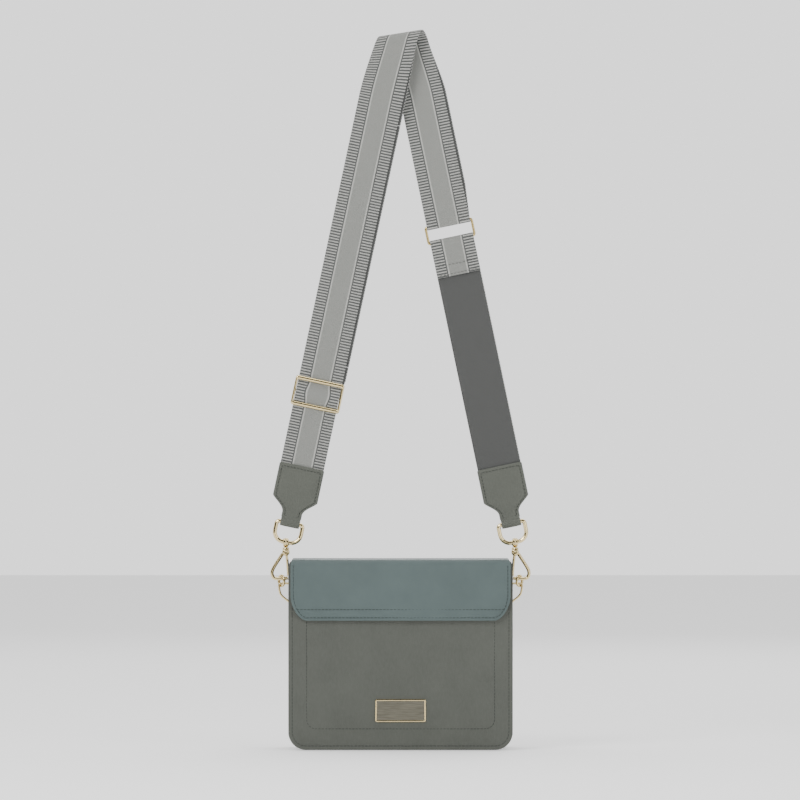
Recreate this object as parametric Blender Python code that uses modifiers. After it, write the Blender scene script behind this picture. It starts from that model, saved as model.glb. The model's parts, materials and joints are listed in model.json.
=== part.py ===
"""Crossbody bag on an adjustable shoulder strap, hanging from the bend at the top of the strap.

Metres, +Z up, the flap's face looks along -Y. Heights below are given above the bag's base, and the
whole object is lowered by HANG_HEIGHT, so that the origin is the inside of the strap's top bend,
where a peg or a hand holds it. Each moving piece is parented to an empty on its joint's axis.
"""

import math

import bmesh
import bpy
from mathutils import Matrix, Vector

MM = 0.001
GAP = 0.3 * MM  # clearance kept between pieces that touch

# Bag body
BAG_WIDTH = 203 * MM
BAG_DEPTH = 65 * MM
PANEL_HEIGHT = 169.5 * MM
PANEL_CORNER = 16 * MM
LEATHER = 1.2 * MM
BOARD = 1.2 * MM
CLOTH = 0.8 * MM
POCKET_CLOTH = 0.6 * MM
POCKET_WIDTH = 170 * MM
POCKET_BOTTOM = 19 * MM
POCKET_TOP = 150 * MM
GUSSET = 1.4 * MM
GUSSET_RECESS = 3 * MM  # how far the gusset sits inside the panels' edges
GUSSET_TOP = 167 * MM

# Flap, in two stretches that meet at the crease in front of the strap
FLAP_WIDTH = 199 * MM
FLAP_CORNER = 20 * MM
FLAP_EDGE_HEIGHT = 117 * MM  # lower edge of the flap's front
FLAP_BACK_HEIGHT = 128 * MM  # lower edge of the leather sewn to the rear panel
FLAP_BEND = 5 * MM
BACK_BEND = 2 * MM
CREASE_Y = -7.5 * MM

# Name plate and magnet
PLATE_WIDTH = 45.7 * MM
PLATE_HEIGHT = 20.4 * MM
PLATE_CENTRE_HEIGHT = 35.5 * MM
PLATE_THICKNESS = 1.2 * MM
PRONG_SPACING = 30 * MM
MAGNET_RADIUS = 8 * MM
MAGNET_THICKNESS = 1.4 * MM
MAGNET_HEIGHT = 126 * MM

# Strap
HANG_HEIGHT = 647 * MM
WEB_WIDTH = 40 * MM
WEB = 1.3 * MM
PITCH = WEB + GAP  # from one layer of webbing to the next
PEG_RADIUS = 5 * MM  # inside of the top bend
LEAN = {-1: math.radians(12.1), 1: math.radians(11.8)}  # each leg of the strap from upright
BAR = Vector((100.5 * MM, 0, 204.5 * MM))  # middle of the bar of the right D-ring
LEG_TOP_HEIGHT = 590 * MM  # where the straight legs begin to curve in to the top bend
REAR_LAYER_SHIFT = 2.5 * MM  # the rear layer of each leg lies this far to the right

# Leather tabs at the strap's ends, measured up the leg from the bar of the D-ring
TAB_WIDTH = 41 * MM
TAB_NECK = 18 * MM
TAB_TOP = 53 * MM
TAB_SHOULDER = 22.5 * MM
TAB_NECK_TOP = 9 * MM
WEB_END = 24 * MM
TAB_THICKNESS = 2 * LEATHER + WEB + 2 * GAP
LOOP_BORE = 2.7 * MM

# Strap hardware
SLIDER_WIDTH = 44.2 * MM
SLIDER_HEIGHT = 25.5 * MM
SLIDER_SIDE = 1.6 * MM
SLIDER_BAR = 2.8 * MM
SLIDER_THICKNESS = 2.2 * MM
SLIDER_ROD = 1.0 * MM  # radius of the set-back centre bar
SLIDER_ALONG = 119.6 * MM  # up the left leg from the bar of the D-ring
RING_WIDTH = 44.8 * MM
RING_HEIGHT = 17.4 * MM
RING_WIRE = 1.1 * MM  # radii of the wires
RING_ALONG = 271 * MM  # up the right leg from the bar of the D-ring
D_RING_WIRE = 1.7 * MM
D_RING_WIDTH = 24.1 * MM
D_RING_HEIGHT = 17.8 * MM

# Swivel hooks. U runs outwards from the swivel's axis and V up from the lower wire of the D-ring.
EYE_RADIUS = 3.1 * MM
EYE_WIRE = 0.95 * MM
EYE_DROP = 0.15 * MM
STEM_RADIUS = 1.0 * MM
BUTTON_RADIUS = 1.8 * MM
HEAD_TOP = -4.5 * MM
HEAD_HEIGHT = 7.2 * MM
HEAD_WIDTH = 7.4 * MM
HEAD_DEPTH = 6.4 * MM
PIN_V = -9.0 * MM
PIN_RADIUS = 0.8 * MM
HOOK_WIRE = 1.4 * MM
HOOK_BOTTOM_V = -33.2 * MM
GATE_WIRE = 1.05 * MM
GATE_FOOT = Vector((-2.3 * MM, 0, -30.4 * MM))

# Side rings and the bridges that hold them on the gussets
SIDE_RING_RADIUS = 4.7 * MM  # to the middle of its wire
SIDE_RING_WIRE = 1.0 * MM
SIDE_RING_U = 4.0 * MM
RING_PLAY = 0.5 * MM  # between the hook's wire and the side ring that hangs on it
BRIDGE_WIRE = 1.0 * MM
BRIDGE_FOOT_HEIGHT = 135.5 * MM
BRIDGE_PLATE = Vector((1.0 * MM, 7 * MM, 31 * MM))

PALETTE = {
    "panel_leather": ((0.130, 0.134, 0.112), 0.62, 0.0),
    "flap_leather": ((0.147, 0.191, 0.185), 0.55, 0.0),
    "tab_leather": ((0.140, 0.146, 0.125), 0.6, 0.0),
    "board": ((0.42, 0.36, 0.27), 0.9, 0.0),
    "lining": ((0.10, 0.11, 0.11), 0.85, 0.0),
    "webbing": ((0.33, 0.34, 0.31), 0.9, 0.0),
    "webbing_reverse": ((0.105, 0.108, 0.105), 0.9, 0.0),
    "gold": ((0.80, 0.64, 0.36), 0.25, 1.0),
    "plate_metal": ((0.36, 0.35, 0.30), 0.4, 1.0),
    "steel": ((0.55, 0.55, 0.55), 0.35, 1.0),
}


# Turns that lay a shape made along Z along another axis
AXIS_TURN = {
    "X": Matrix.Rotation(math.pi / 2, 4, "Y"),
    "Y": Matrix.Rotation(-math.pi / 2, 4, "X"),
    "Z": Matrix.Identity(4),
}


# Scene, bodies and materials ---------------------------------------------------------------------


def clear_scene():
    for item in list(bpy.data.objects):
        bpy.data.objects.remove(item)


def new_collection(name):
    collection = bpy.data.collections.new(name)
    bpy.context.scene.collection.children.link(collection)
    return collection


def material(name):
    if name in bpy.data.materials:
        return bpy.data.materials[name]
    colour, roughness, metallic = PALETTE[name]
    made = bpy.data.materials.new(name)
    made.use_nodes = True
    shader = made.node_tree.nodes["Principled BSDF"]
    shader.inputs["Base Color"].default_value = (*colour, 1)
    shader.inputs["Roughness"].default_value = roughness
    shader.inputs["Metallic"].default_value = metallic
    made.diffuse_color = (*colour, 1)
    return made


clear_scene()
BAG = new_collection("crossbody_bag")
CUTTERS = new_collection("cutters")
PIVOTS = {}


def side_name(side):
    return "left" if side < 0 else "right"


def body(name, pivot):
    """An empty on the joint's axis, which the body's pieces hang on. PIVOTS holds its place."""
    empty = bpy.data.objects.new(name + "_pivot", None)
    BAG.objects.link(empty)
    empty.location = Vector(pivot) - Vector((0, 0, HANG_HEIGHT))
    PIVOTS[name] = (empty, Vector(pivot))


def link(name, data, finish, smooth=True):
    made = bpy.data.objects.new(name, data)
    BAG.objects.link(made)
    data.materials.append(material(finish))
    if smooth and made.type == "MESH":
        data.shade_smooth()
        data.set_sharp_from_angle(angle=math.radians(35))
    return made


def place(piece, body_name, at=(0, 0, 0), lean=0.0):
    """Puts the piece on its body, at a place given above the bag's base, leaning about Y."""
    empty, pivot = PIVOTS[body_name]
    piece.parent = empty
    piece.rotation_euler = (0, lean, 0)
    piece.location = Vector(at) - pivot
    return piece


def helper(piece):
    """Makes the object a hidden operand of a Boolean."""
    BAG.objects.unlink(piece)
    CUTTERS.objects.link(piece)
    piece.hide_render = True
    piece.display_type = "WIRE"
    return piece


def boolean(piece, other, operation):
    if not other.hide_render:
        helper(other)
    step = piece.modifiers.new(operation.lower() + "_" + other.name, "BOOLEAN")
    step.object = other
    step.operation = operation
    step.solver = "EXACT"


# Shapes ------------------------------------------------------------------------------------------


def mesh_from(bm, name):
    data = bpy.data.meshes.new(name)
    bm.to_mesh(data)
    bm.free()
    return data


def box(name, size, finish, bevel=0.0):
    bm = bmesh.new()
    bmesh.ops.create_cube(bm, size=1, matrix=Matrix.Diagonal((*size, 1)))
    made = link(name, mesh_from(bm, name), finish, smooth=False)
    if bevel:
        edges = made.modifiers.new("rounded_edges", "BEVEL")
        edges.width = bevel
        edges.segments = 2
    return made


def cylinder(name, radius, length, axis, finish, segments=20):
    """A cylinder centred on the origin, along X, Y or Z."""
    bm = bmesh.new()
    bmesh.ops.create_cone(
        bm, cap_ends=True, segments=segments, radius1=radius, radius2=radius, depth=length,
        matrix=AXIS_TURN[axis],
    )
    return link(name, mesh_from(bm, name), finish)


def turned(name, profile, axis, finish, steps=20):
    """Turns a profile of (radius, height) pairs, listed from the top down, about the axis."""
    bm = bmesh.new()
    points = [bm.verts.new((radius, 0, height)) for radius, height in profile]
    for upper, lower in zip(points, points[1:]):
        bm.edges.new((upper, lower))
    data = mesh_from(bm, name)
    made = link(name, data, finish, smooth=False)
    screw = made.modifiers.new("turned", "SCREW")
    screw.steps = screw.render_steps = steps
    screw.use_merge_vertices = True
    screw.merge_threshold = 0.00001
    screw.use_smooth_shade = False
    return as_mesh(made, AXIS_TURN[axis])


def as_mesh(piece, turn=None):
    """Replaces a curve or a turned object by its finished mesh, with the caps welded to the sides."""
    bpy.context.view_layer.update()
    graph = bpy.context.evaluated_depsgraph_get()
    data = bpy.data.meshes.new_from_object(piece.evaluated_get(graph))
    name, finish = piece.name, piece.data.materials[0].name
    bm = bmesh.new()
    bm.from_mesh(data)
    bmesh.ops.remove_doubles(bm, verts=bm.verts, dist=0.000005)
    if turn is not None:
        bmesh.ops.transform(bm, matrix=turn, verts=bm.verts)
    bmesh.ops.recalc_face_normals(bm, faces=bm.faces)
    bm.to_mesh(data)
    bm.free()
    bpy.data.objects.remove(piece)
    data.materials.clear()
    return link(name, data, finish)


def wire(name, points, radius, finish, cyclic=False, resolution=2):
    """A round wire through the points, as a mesh."""
    curve = bpy.data.curves.new(name, "CURVE")
    curve.dimensions = "3D"
    curve.bevel_depth = radius
    curve.bevel_resolution = resolution
    curve.use_fill_caps = not cyclic
    spline = curve.splines.new("POLY")
    spline.points.add(len(points) - 1)
    for point, spot in zip(spline.points, points):
        point.co = (*spot, 1)
    spline.use_cyclic_u = cyclic
    return as_mesh(link(name, curve, finish, smooth=False))


def flat(name, outlines, thickness, finish):
    """Closed outlines in the XZ plane, the first one solid and the others holes, made thick in Y."""
    curve = bpy.data.curves.new(name, "CURVE")
    curve.dimensions = "2D"
    curve.fill_mode = "BOTH"
    curve.extrude = thickness / 2
    for outline in outlines:
        spline = curve.splines.new("POLY")
        spline.points.add(len(outline) - 1)
        for point, (across, up) in zip(spline.points, outline):
            point.co = (across, up, 0, 1)
        spline.use_cyclic_u = True
    upright = Matrix.Rotation(math.pi / 2, 4, "X")
    return as_mesh(link(name, curve, finish, smooth=False), upright)


def arc(centre, radius, start, end, steps=6):
    """Points round an arc in a plane, from one angle in degrees to another."""
    angles = [math.radians(start + (end - start) * step / steps) for step in range(steps + 1)]
    return [(centre[0] + radius * math.cos(a), centre[1] + radius * math.sin(a)) for a in angles]


def rounded(width, low, high, bottom, top, steps=6):
    """A rectangle from low to high with round lower and upper corners."""
    half = width / 2
    return [
        *arc((-half + bottom, low + bottom), bottom, 180, 270, steps),
        *arc((half - bottom, low + bottom), bottom, 270, 360, steps),
        *arc((half - top, high - top), top, 0, 90, steps),
        *arc((-half + top, high - top), top, 90, 180, steps),
    ]


def extruded_x(name, profile, width, finish):
    """A closed profile of (y, z) pairs, made wide in X."""
    made = flat(name, [profile], width, finish)
    quarter = Matrix.Rotation(math.pi / 2, 4, "Z")
    made.data.transform(quarter)
    return made


def strip_profile(line, thickness):
    """A closed outline of even thickness along an open line of points in a plane."""
    left, right = [], []
    for index, point in enumerate(line):
        before = Vector(line[max(index - 1, 0)])
        after = Vector(line[min(index + 1, len(line) - 1)])
        along = (after - before).normalized()
        aside = Vector((-along.y, along.x)) * thickness / 2
        left.append(tuple(Vector(point) + aside))
        right.append(tuple(Vector(point) - aside))
    return left + right[::-1]


def ribbon(name, route, finish, width=WEB_WIDTH, thickness=WEB):
    """Webbing swept along a route of (point, across) pairs. Across is the way its width runs."""
    bm = bmesh.new()
    rings = []
    for index, (point, across) in enumerate(route):
        before = route[max(index - 1, 0)][0]
        after = route[min(index + 1, len(route) - 1)][0]
        along = (after - before).normalized()
        across = across.normalized() * width / 2
        out = along.cross(across).normalized() * thickness / 2
        corners = (point - across - out, point + across - out, point + across + out, point - across + out)
        rings.append([bm.verts.new(corner) for corner in corners])
    for lower, upper in zip(rings, rings[1:]):
        for index in range(4):
            following = (index + 1) % 4
            bm.faces.new((lower[index], lower[following], upper[following], upper[index]))
    bm.faces.new(rings[0][::-1])
    bm.faces.new(rings[-1])
    bmesh.ops.recalc_face_normals(bm, faces=bm.faces)
    return link(name, mesh_from(bm, name), finish)


# Places worked out from the driving dimensions --------------------------------------------------

FRONT = -BAG_DEPTH / 2
POCKET_Y = FRONT + LEATHER + 0.5 * MM  # front face of the pocket's cloth
BOARD_Y = POCKET_Y + POCKET_CLOTH + GAP
LINING_Y = BOARD_Y + BOARD + GAP
GUSSET_X = BAG_WIDTH / 2 - GUSSET_RECESS  # outer face of the gusset's sides
LINING_X = GUSSET_X - GUSSET - GAP
BASE_BOARD_LOW = GUSSET_RECESS + GUSSET + GAP
LINING_LOW = BASE_BOARD_LOW + BOARD + GAP
FLAP_LINING_LOW = PANEL_HEIGHT + GAP
FLAP_LOW = FLAP_LINING_LOW + CLOTH + GAP
FLAP_HIGH = FLAP_LOW + LEATHER
FLAP_FRONT_Y = FRONT - 2 * MAGNET_THICKNESS - 2 * GAP  # inner face of the flap's front leather


def up_the_leg(side, along, outward=0.0, forward=0.0):
    """A point up one straight leg of the strap from the bar of its D-ring."""
    lean = LEAN[side]
    across = Vector((math.cos(lean), 0, side * math.sin(lean)))
    rise = Vector((-side * math.sin(lean), 0, math.cos(lean)))
    share = max(along - TAB_TOP, 0) / ((LEG_TOP_HEIGHT - BAR.z) / math.cos(lean) - TAB_TOP)
    depth = side * (PEG_RADIUS + PITCH) * share  # the legs part towards the top bend
    start = Vector((side * BAR.x, 0, BAR.z))
    return start + rise * along + across * outward + Vector((0, depth - forward, 0))


def leg_across(side):
    return Vector((math.cos(LEAN[side]), 0, side * math.sin(LEAN[side])))


def hook_point(side, outward, forward, rise):
    """A point of a swivel hook, from the swivel's axis at the lower wire of the D-ring."""
    base = up_the_leg(side, -D_RING_HEIGHT)
    return Vector((base.x + side * outward, -forward, base.z + rise))


BEND_CENTRE_HEIGHT = HANG_HEIGHT - PEG_RADIUS
HOOK_LEVEL = up_the_leg(1, -D_RING_HEIGHT).z
BAG_PIVOT_HEIGHT = HOOK_LEVEL + HOOK_BOTTOM_V
RING_TOP_HEIGHT = BAG_PIVOT_HEIGHT + HOOK_WIRE + RING_PLAY + SIDE_RING_WIRE
RING_CENTRE_HEIGHT = RING_TOP_HEIGHT - SIDE_RING_RADIUS
RING_PIVOT_HEIGHT = RING_CENTRE_HEIGHT - SIDE_RING_RADIUS + SIDE_RING_WIRE + GAP + BRIDGE_WIRE


def make_bodies():
    body("strap", (0, 0, HANG_HEIGHT))
    body("slider", up_the_leg(-1, SLIDER_ALONG))
    body("bag", (0, 0, BAG_PIVOT_HEIGHT))
    body("flap", (0, CREASE_Y, FLAP_HIGH))
    for side in (-1, 1):
        name = side_name(side)
        body("d_ring_" + name, (side * BAR.x, 0, BAR.z))
        body("hook_" + name, hook_point(side, 0, 0, 0))
        body("gate_" + name, hook_point(side, 0, 0, PIN_V))
        body("side_ring_" + name, (side * (GUSSET_X + 6 * MM), 0, RING_PIVOT_HEIGHT))


# Bag body ----------------------------------------------------------------------------------------


def make_panels():
    panel = rounded(BAG_WIDTH, 0, PANEL_HEIGHT, PANEL_CORNER, 3 * MM)
    inner = rounded(2 * GUSSET_X, GUSSET_RECESS, PANEL_HEIGHT - 2 * MM, PANEL_CORNER - 3 * MM, 2 * MM)
    for side, name in ((-1, "front"), (1, "rear")):
        leather = flat(name + "_panel", [panel], LEATHER, "panel_leather")
        place(leather, "bag", (0, side * (-FRONT - LEATHER / 2), 0))
        board = flat(name + "_board", [inner], BOARD, "board")
        place(board, "bag", (0, side * -(BOARD_Y + BOARD / 2), 0))
        if side < 0:
            for offset in (-PRONG_SPACING / 2, PRONG_SPACING / 2):
                slot = box("prong_slot", (3 * MM, 4 * MM, 1.6 * MM), "steel")
                place(slot, "bag", (offset, FRONT, PLATE_CENTRE_HEIGHT))
                boolean(leather, slot, "DIFFERENCE")
    outline = rounded(POCKET_WIDTH, POCKET_BOTTOM, POCKET_TOP, 8 * MM, 2 * MM)
    pocket = flat("front_pocket_cloth", [outline], POCKET_CLOTH, "lining")
    place(pocket, "bag", (0, POCKET_Y + POCKET_CLOTH / 2, 0))
    slip = rounded(130 * MM, 55 * MM, 140 * MM, 6 * MM, 2 * MM)
    inner_pocket = flat("inner_slip_pocket", [slip], POCKET_CLOTH, "lining")
    place(inner_pocket, "bag", (0, -LINING_Y - CLOTH - GAP - POCKET_CLOTH / 2, 0))


def channel(half_width, low, high, corner, thickness):
    """Outline of a U of even thickness: up the left side, open at the top."""
    outer = [
        (-half_width, high), *arc((-half_width + corner, low + corner), corner, 180, 270),
        *arc((half_width - corner, low + corner), corner, 270, 360), (half_width, high),
    ]
    inner = [
        (half_width - thickness, high),
        *arc((half_width - corner, low + corner), corner - thickness, 360, 270),
        *arc((-half_width + corner, low + corner), corner - thickness, 270, 180),
        (-half_width + thickness, high),
    ]
    return outer + inner


def make_gusset_and_lining():
    depth = 2 * -LINING_Y
    outline = channel(GUSSET_X, GUSSET_RECESS, GUSSET_TOP, PANEL_CORNER - 2 * MM, GUSSET)
    gusset = place(flat("gusset", [outline], depth, "panel_leather"), "bag")
    base = box("base_board", (150 * MM, depth - 2 * MM, BOARD), "board")
    place(base, "bag", (0, 0, BASE_BOARD_LOW + BOARD / 2))
    corner = PANEL_CORNER - 4 * MM
    shell = rounded(2 * LINING_X, LINING_LOW, GUSSET_TOP, corner, 1 * MM)
    lining = place(flat("lining", [shell], depth, "lining"), "bag")
    hollow = rounded(2 * (LINING_X - CLOTH), LINING_LOW + CLOTH, 2 * GUSSET_TOP, corner - CLOTH, 1 * MM)
    inside = place(flat("lining_hollow", [hollow], depth - 2 * CLOTH, "lining"), "bag")
    boolean(lining, inside, "DIFFERENCE")
    return gusset


def make_plate():
    """The blank name plate, with two short prongs that pass through slots in the front panel."""
    outline = rounded(PLATE_WIDTH, -PLATE_HEIGHT / 2, PLATE_HEIGHT / 2, 1.5 * MM, 1.5 * MM)
    plate = flat("name_plate", [outline], PLATE_THICKNESS, "plate_metal")
    place(plate, "bag", (0, FRONT - GAP - PLATE_THICKNESS / 2, PLATE_CENTRE_HEIGHT))
    reach = LEATHER + 2 * GAP
    for offset in (-PRONG_SPACING / 2, PRONG_SPACING / 2):
        prong = box("plate_prong", (2 * MM, reach + 0.4 * MM, 0.8 * MM), "steel")
        place(prong, "bag", (offset, FRONT - GAP + reach / 2 - 0.3 * MM, PLATE_CENTRE_HEIGHT))
        boolean(plate, prong, "UNION")


def make_magnet():
    socket = cylinder("magnet_socket", MAGNET_RADIUS, MAGNET_THICKNESS, "Y", "gold")
    place(socket, "bag", (0, FRONT - GAP - MAGNET_THICKNESS / 2, MAGNET_HEIGHT))
    stud = cylinder("magnet_stud", MAGNET_RADIUS, MAGNET_THICKNESS - GAP, "Y", "gold")
    place(stud, "flap", (0, FLAP_FRONT_Y + MAGNET_THICKNESS / 2, MAGNET_HEIGHT))


def flap_line(front_y, top, low, end_y, bend):
    """The flap's section from its crease over the front edge and down to its lower edge."""
    corner = (front_y + bend, top - bend)
    return [(end_y, top), *arc(corner, bend, 90, 180, 6), (front_y, low)]


def make_flap():
    half_crease = 0.4 * MM
    line = flap_line(FLAP_FRONT_Y - LEATHER / 2, FLAP_HIGH - LEATHER / 2, FLAP_EDGE_HEIGHT,
                     CREASE_Y - half_crease, FLAP_BEND)
    cover = extruded_x("flap_cover", strip_profile(line, LEATHER), FLAP_WIDTH, "flap_leather")
    place(cover, "flap")
    shape = rounded(FLAP_WIDTH + 2 * MM, FLAP_EDGE_HEIGHT - MM, 2 * FLAP_HIGH, FLAP_CORNER, 1 * MM)
    keep = place(flat("flap_shape", [shape], 4 * BAG_DEPTH, "flap_leather"), "flap")
    boolean(cover, keep, "INTERSECT")
    line = flap_line(FLAP_FRONT_Y + CLOTH / 2 + GAP, FLAP_LOW - CLOTH / 2 - GAP, FLAP_EDGE_HEIGHT + 32 * MM,
                     CREASE_Y - half_crease, FLAP_BEND - LEATHER - GAP)
    facing = extruded_x("flap_lining", strip_profile(line, CLOTH), FLAP_WIDTH - 4 * MM, "lining")
    place(facing, "flap")
    back_y = -FRONT + GAP + LEATHER / 2
    top = FLAP_HIGH - LEATHER / 2
    corner = (back_y - BACK_BEND, top - BACK_BEND)
    line = [(CREASE_Y + half_crease, top), *arc(corner, BACK_BEND, 90, 0, 6), (back_y, FLAP_BACK_HEIGHT)]
    back = extruded_x("flap_back", strip_profile(line, LEATHER), FLAP_WIDTH, "flap_leather")
    place(back, "bag")


# Strap -------------------------------------------------------------------------------------------


def bend(front, rear, radius, low, across, steps=8):
    """The round over the peg, from its front to its rear."""
    found = []
    for step in range(steps + 1):
        turn = step / steps
        angle = math.pi * (1 - turn)
        x = front.x + (rear.x - front.x) * turn
        found.append((Vector((x, radius * math.cos(angle), low + radius * math.sin(angle))), across))
    return found


def leg_route(side, start, end, forward, shift=0.0, steps=6):
    across = leg_across(side)
    return [
        (up_the_leg(side, start + (end - start) * step / steps, shift, forward), across)
        for step in range(steps + 1)
    ]


def wrap(side, along, radius, start, end, steps=8):
    """A fold round a bar across the leg. Angle 0 is in front of the bar, 90 is up the leg."""
    across = leg_across(side)
    found = []
    for step in range(steps + 1):
        angle = math.radians(start + (end - start) * step / steps)
        point = up_the_leg(side, along + radius * math.sin(angle), 0, radius * math.cos(angle))
        found.append((point, across))
    return found


def eased(first, last, steps=5):
    """Points between two places of a route, easing out of one and into the other."""
    (start, across), (end, _) = first, last
    found = []
    for step in range(1, steps):
        share = step / steps
        smooth = share * share * (3 - 2 * share)
        point = start.lerp(end, share)
        point.y = start.y + (end.y - start.y) * smooth
        found.append((point, across))
    return found


LEG_LENGTH = (LEG_TOP_HEIGHT - BAR.z) / math.cos(LEAN[1])
BEND_X = (-4 * MM, 5 * MM)  # where the webbing meets the bend, at the front and at the rear
LAYER = PITCH / 2
RING_HALF = RING_HEIGHT / 2 - RING_WIRE
WRAP_RADIUS = RING_WIRE + GAP + WEB / 2


def over_the_top(front_end, rear_start, radius):
    """Webbing from the top of the left leg over the peg to the top of the right leg."""
    level = Vector((1, 0, 0))
    low = BEND_CENTRE_HEIGHT
    front = Vector((BEND_X[0], -radius, low))
    rear = Vector((BEND_X[1], radius, low))
    up = curve_between(front_end, (front, level), -1)
    down = curve_between((rear, level), rear_start, 1)
    return up + bend(front, rear, radius, low, level) + down


def curve_between(first, last, side, steps=5):
    """Points between a straight leg and the bend, curving in the plane of the webbing."""
    (start, across_start), (end, across_end) = first, last
    reach = (end - start).length / 3
    slope = Vector((-math.sin(LEAN[side]) * side, 0, math.cos(LEAN[side])))
    steep = Vector((-math.sin(1.25 * LEAN[side]) * side, 0, math.cos(1.25 * LEAN[side])))
    if side < 0:
        controls = (start, start + slope * reach, end - steep * reach, end)
    else:
        controls = (start, start - steep * reach, end + slope * reach, end)
    found = []
    for step in range(1, steps):
        t = step / steps
        weights = ((1 - t) ** 3, 3 * t * (1 - t) ** 2, 3 * t * t * (1 - t), t ** 3)
        point = sum((control * weight for control, weight in zip(controls, weights)), Vector())
        found.append((point, across_start.lerp(across_end, t)))
    return found


def make_webbing():
    """The long webbing, in the three stretches that it runs in, one after the other."""
    outer = PEG_RADIUS + GAP + WEB / 2 + PITCH
    inner = PEG_RADIUS + GAP + WEB / 2
    left_front = leg_route(-1, WEB_END, LEG_LENGTH, 0)
    rear_lift = leg_route(1, LEG_LENGTH, RING_ALONG + 40 * MM, -LAYER, REAR_LAYER_SHIFT)
    at_ring = wrap(1, RING_ALONG + RING_HALF, WRAP_RADIUS, 180, 360)
    front_end = leg_route(1, RING_ALONG + 38 * MM, RING_ALONG + 40 * MM, LAYER, 0, 1)
    route = left_front + over_the_top(left_front[-1], rear_lift[0], outer) + rear_lift
    route += eased(rear_lift[-1], at_ring[0]) + at_ring
    route += eased(at_ring[-1], front_end[0]) + front_end
    place(ribbon("long_webbing", route, "webbing"), "strap")
    front_rise = leg_route(1, RING_ALONG + 40 * MM + GAP, LEG_LENGTH, LAYER)
    inner_end = leg_route(-1, LEG_LENGTH, LEG_LENGTH - 20 * MM, -PITCH, REAR_LAYER_SHIFT, 1)
    back_over = over_the_top(inner_end[0], front_rise[-1], inner)
    route = front_rise + back_over[::-1] + inner_end
    place(ribbon("inner_webbing", route, "webbing"), "strap")
    lower_end = SLIDER_ALONG + 30 * MM
    gathered = leg_route(-1, LEG_LENGTH - 20 * MM - GAP, lower_end, -PITCH, REAR_LAYER_SHIFT)
    place(ribbon("return_webbing", gathered, "webbing_reverse"), "strap")


LOOP_RADIUS = SLIDER_ROD + GAP + WEB / 2
LOOP_DEPTH = PITCH + LOOP_RADIUS  # from the long webbing back to the middle of the slider's rod


def make_end_loop():
    """The end of the long webbing, sewn round the slider's centre bar."""
    start = SLIDER_ALONG + 30 * MM - GAP
    down = leg_route(-1, start, SLIDER_ALONG + 17 * MM, -PITCH, REAR_LAYER_SHIFT, 2)
    down_inside = leg_route(-1, SLIDER_ALONG + 7 * MM, SLIDER_ALONG + 3 * MM, -PITCH, 0, 1)
    around = []
    for step in range(9):
        angle = math.radians(360 - 180 * step / 8)
        around.append((up_the_leg(-1, SLIDER_ALONG + LOOP_RADIUS * math.sin(angle), 0,
                                  LOOP_RADIUS * math.cos(angle) - LOOP_DEPTH), leg_across(-1)))
    up = leg_route(-1, SLIDER_ALONG + 20 * MM, SLIDER_ALONG + 27 * MM, -2.06 * PITCH, REAR_LAYER_SHIFT, 1)
    route = down + eased(down[-1], down_inside[0], 4) + down_inside + around
    route += eased(around[-1], up[0], 6) + up
    place(ribbon("webbing_end_loop", route, "webbing_reverse"), "slider")


def make_short_webbing():
    turn = wrap(1, RING_ALONG - RING_HALF, WRAP_RADIUS, 180, 0)
    run = leg_route(1, WEB_END, RING_ALONG - 50 * MM, 0)
    fold = leg_route(1, RING_ALONG - 28 * MM, RING_ALONG - 40 * MM, LAYER + 0.5 * MM, 0, 1)
    route = run + eased(run[-1], turn[0]) + turn + eased(turn[-1], fold[0]) + fold
    place(ribbon("short_webbing", route, "webbing_reverse"), "strap")


def tab_outline():
    """Half outline of a leather tab, mirrored: straight sides, a hollow shoulder and a neck."""
    wide, neck = TAB_WIDTH / 2, TAB_NECK / 2
    hollow = []
    for step in range(9):
        share = step / 8
        smooth = math.sin(share * math.pi / 2) ** 1.3
        height = TAB_SHOULDER - (TAB_SHOULDER - TAB_NECK_TOP) * share
        hollow.append((neck + (wide - neck) * (1 - smooth), height))
    right = [(wide - 1 * MM, TAB_TOP), (wide, TAB_TOP - 1 * MM), *hollow, (neck, 0)]
    return right[::-1] + [(-x, z) for x, z in right]


def make_tabs():
    for side in (-1, 1):
        name = side_name(side)
        lean = -side * LEAN[side]
        tab = flat("tab_" + name, [tab_outline()], TAB_THICKNESS, "tab_leather")
        place(tab, "strap", up_the_leg(side, 0), lean)
        loop = cylinder("tab_loop", LOOP_BORE + LEATHER, TAB_NECK, "X", "tab_leather")
        place(loop, "strap", up_the_leg(side, 0), lean)
        boolean(tab, loop, "UNION")
        bore = cylinder("tab_bore", LOOP_BORE, 2 * TAB_NECK, "X", "tab_leather")
        place(bore, "strap", up_the_leg(side, 0), lean)
        boolean(tab, bore, "DIFFERENCE")
        mouth = box("tab_mouth", (WEB_WIDTH + 2 * GAP, WEB + 2 * GAP, TAB_TOP), "tab_leather")
        place(mouth, "strap", up_the_leg(side, WEB_END - GAP + TAB_TOP / 2), lean)
        boolean(tab, mouth, "DIFFERENCE")


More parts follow.
